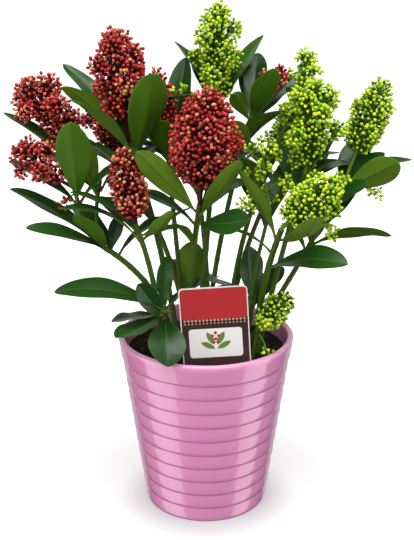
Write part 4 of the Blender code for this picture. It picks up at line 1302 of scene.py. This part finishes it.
    def middle(self, c):
        """Buds of the crowded middle, between the groups; the two inner layers take the dark colour of
        painted shade, darker the deeper they stand.
        """
        rng, side = self.rng, c.axis.orthogonal().normalized()
        for layer, spacing, deep in ((1.0, 3.4, False), (0.76, 3.9, True), (0.48, 4.2, True)):
            inside = min(c.rule["inside"], c.middle * 1.15) * layer
            count = round(math.tau * c.half * inside * c.height * 0.8 / (0.866 * (spacing * MM) ** 2))
            for i in range(count):
                share = 0.04 + 0.92 * (i + 0.5) / count
                out = Matrix.Rotation(math.radians(GOLDEN * i), 3, c.axis) @ side
                wide = c.half * inside * egg(share) * rng.uniform(0.84, 1.08)
                p = c.low + c.axis * c.height * share + out * wide
                p += Vector(rng.uniform(-.6, .6) * MM for k in range(3))
                paint = self.pick(c)
                if not any((p - g.spot).length < 0.6 * g.radius for g in c.groups):
                    self.bud(c, paint, p, p - out * wide * 0.62 - c.axis * 2.5 * MM, deep)


@functools.cache
def panicles():
    return Panicles()


def bud_nodes(colour):
    return cad_nodes("buds_" + colour) + (["spray_low"] if colour == "green" else [])


def make_buds(look, colour):
    tree = bud_tree()
    for name in BUD_COLOURS[colour]:
        places, aims, sizes = panicles().buds[name]
        obj = seeds("buds_" + name, places, aim=aims, size=sizes)
        # The painted-shade buds get fewer faces and a dull skin.
        few = name == DEEP_SHADE[colour]
        segments, rings = (5, 4) if few else (look.segments, look.rings)
        tree.run(obj, Segments=segments, Rings=rings, Stretch=look.stretch,
                 Skin=bud_paint("bud_" + name, getattr(look, name), few))
        put(obj, bud_nodes(colour))


class SKIMMIA_OT_twigs(bpy.types.Operator):
    """Grows the branches and bud stalks of the panicles"""
    bl_idname = "skimmia.twigs"
    bl_label = "Panicle twigs"

    def execute(self, context):
        look, tree = context.scene.skimmia_buds, twig_tree()
        for colour, (places, edges, thick, tints) in panicles().twigs.items():
            obj = seeds("twigs_" + colour, places, edges, thick=thick, tint=tints)
            wood, twig = getattr(look, colour + "_wood"), getattr(look, colour + "_twig")
            tree.run(obj, Sides=4, Relief=0.0, Wood=bark_paint(colour + "_branch", wood),
                     Accent=bark_paint(colour + "_pedicel", twig))
            put(obj, bud_nodes(colour))
        return {"FINISHED"}


class SKIMMIA_OT_red_buds(bpy.types.Operator):
    """Sets the red buds on their stalks, one piece for each shade"""
    bl_idname = "skimmia.red_buds"
    bl_label = "Red buds"

    def execute(self, context):
        make_buds(context.scene.skimmia_buds, "red")
        return {"FINISHED"}


class SKIMMIA_OT_green_buds(bpy.types.Operator):
    """Sets the green buds on their stalks, one piece for each shade"""
    bl_idname = "skimmia.green_buds"
    bl_label = "Green buds"

    def execute(self, context):
        make_buds(context.scene.skimmia_buds, "green")
        return {"FINISHED"}


# Stage

class SKIMMIA_OT_stage(bpy.types.Operator):
    """Sets the pale floor, the softboxes and the camera"""
    bl_idname = "skimmia.stage"
    bl_label = "Stage"

    def floor(self, colour):
        """A wide disc that glows more the farther it is from the pot, so that the dimmer glow near the foot
        paints a soft shadow.
        """
        paint = Paint("glowing_floor_painted_shadow", colour, 0.8, Emission_Color=(1.0, 1.0, 1.0, 1.0))
        # Painted shadow: the glow is measured from a point 12 mm in front of the pot's axis, so the shadow
        # reaches further to the front.
        away = paint.reckon(VECTOR, "DISTANCE", paint.coordinates(), (0.0, -0.012, 0.0), out="Value")
        # The first ramp paints the dim contact shadow round the foot, the second whitens the floor farther
        # out.
        glow = [paint.node("ShaderNodeMapRange", {"interpolation_type": "SMOOTHSTEP"}, Value=away,
                           From_Min=near, From_Max=far, To_Min=low, To_Max=high).outputs["Result"]
                for near, far, low, high in ((0.038, 0.090, 0.16, 0.53), (0.10, 0.40, 0.0, 0.6))]
        paint.fill(paint.sockets["Emission Strength"], paint.reckon(MATH, "ADD", *glow))
        solid = Solid("floor")
        solid.add(ring(Vector(), Vector((1, 0, 0)), Vector((0, 1, 0)), 20.0, 64), [range(64)], 0)
        obj = solid.make(paint.wear((4, 2), 0.75, 0.85))
        obj.visible_glossy = False
        obj.visible_diffuse = False

    def softbox(self, name, place, aim, wide, high, brightness):
        light = bpy.data.lights.new(name, "AREA")
        light.shape = "RECTANGLE"
        light.size, light.size_y = wide, high
        light.energy = brightness * math.pi * wide * high
        obj = add_object(name, light)
        obj.location = place
        obj.rotation_euler = (Vector(aim) - Vector(place)).to_track_quat("-Z", "Y").to_euler()
        obj.visible_camera = False
        return obj

    def room(self, brightness):
        """Even light that is seen as a white backdrop, but not in the gloss of the leaves."""
        world = bpy.context.scene.world = bpy.data.worlds.new("room")
        world.use_nodes = True
        nodes, links = world.node_tree.nodes, world.node_tree.links
        nodes["Background"].inputs["Color"].default_value = (1.0, 1.0, 1.0, 1.0)
        strength = nodes.new("ShaderNodeMath")
        strength.operation = "MAXIMUM"
        strength.inputs[1].default_value = brightness
        links.new(nodes.new("ShaderNodeLightPath").outputs["Is Camera Ray"], strength.inputs[0])
        links.new(strength.outputs[0], nodes["Background"].inputs["Strength"])
        world.cycles_visibility.glossy = False

    def execute(self, context):
        look, scene = context.scene.skimmia_stage, context.scene
        self.floor(look.floor)
        for side, angle, wide in (("left", math.radians(-66), 1.15), ("right", math.radians(72), 0.85)):
            place = (1.3 * math.sin(angle), -1.3 * math.cos(angle), -0.1)
            self.softbox(side + "_light", place, (0, 0, -0.1), wide, 3.0, look.side)
        self.softbox("top_light", (0.0, -0.25, 1.7), (0, 0, 0.2), 1.3, 1.3, look.top)
        front = self.softbox("front_light", (0.0, -1.4, 1.1), (0, 0, 0.2), 1.2, 1.2, look.front)
        front.visible_glossy = False
        self.softbox("back_light", (0.0, 1.7, 0.0), (0, 0, 0.0), 3.4, 3.0, look.back)
        self.room(look.world)
        camera = scene.camera = add_object("camera", bpy.data.cameras.new("camera"))
        camera.location = CAMERA_PLACE
        camera.rotation_euler = (math.radians(CAMERA_PITCH), 0, 0)
        camera.data.lens = CAMERA_LENS
        camera.data.sensor_width = 36
        camera.data.clip_start = 0.01
        scene.view_settings.view_transform = "Standard"
        return {"FINISHED"}


STEPS = (SKIMMIA_OT_pot, SKIMMIA_OT_soil, SKIMMIA_OT_label, SKIMMIA_OT_stems, SKIMMIA_OT_leaves,
         SKIMMIA_OT_twigs, SKIMMIA_OT_red_buds, SKIMMIA_OT_green_buds, SKIMMIA_OT_stage)


class SKIMMIA_PT_panel(bpy.types.Panel):
    """Lists the steps that finish the plant"""
    bl_idname = "SKIMMIA_PT_panel"
    bl_label = "Skimmia"
    bl_space_type = "VIEW_3D"
    bl_region_type = "UI"
    bl_category = "Skimmia"

    def draw(self, context):
        for step in STEPS:
            self.layout.operator(step.bl_idname)
        for name in GROUPS:
            box = self.layout.box()
            settings = getattr(context.scene, name)
            for key in settings.bl_rna.properties.keys():
                if key not in ("rna_type", "name"):
                    box.prop(settings, key)


CLASSES = (*GROUPS.values(), *STEPS, SKIMMIA_PT_panel)


def register():
    for made in CLASSES:
        bpy.utils.register_class(made)
    for name, group in GROUPS.items():
        setattr(bpy.types.Scene, name, bpy.props.PointerProperty(type=group))


def unregister():
    for name in GROUPS:
        delattr(bpy.types.Scene, name)
    for made in reversed(CLASSES):
        bpy.utils.unregister_class(made)


def main():
    register()
    for step in STEPS:
        getattr(bpy.ops.skimmia, step.bl_idname.split(".")[1])()


if __name__ == "__main__":
    main()
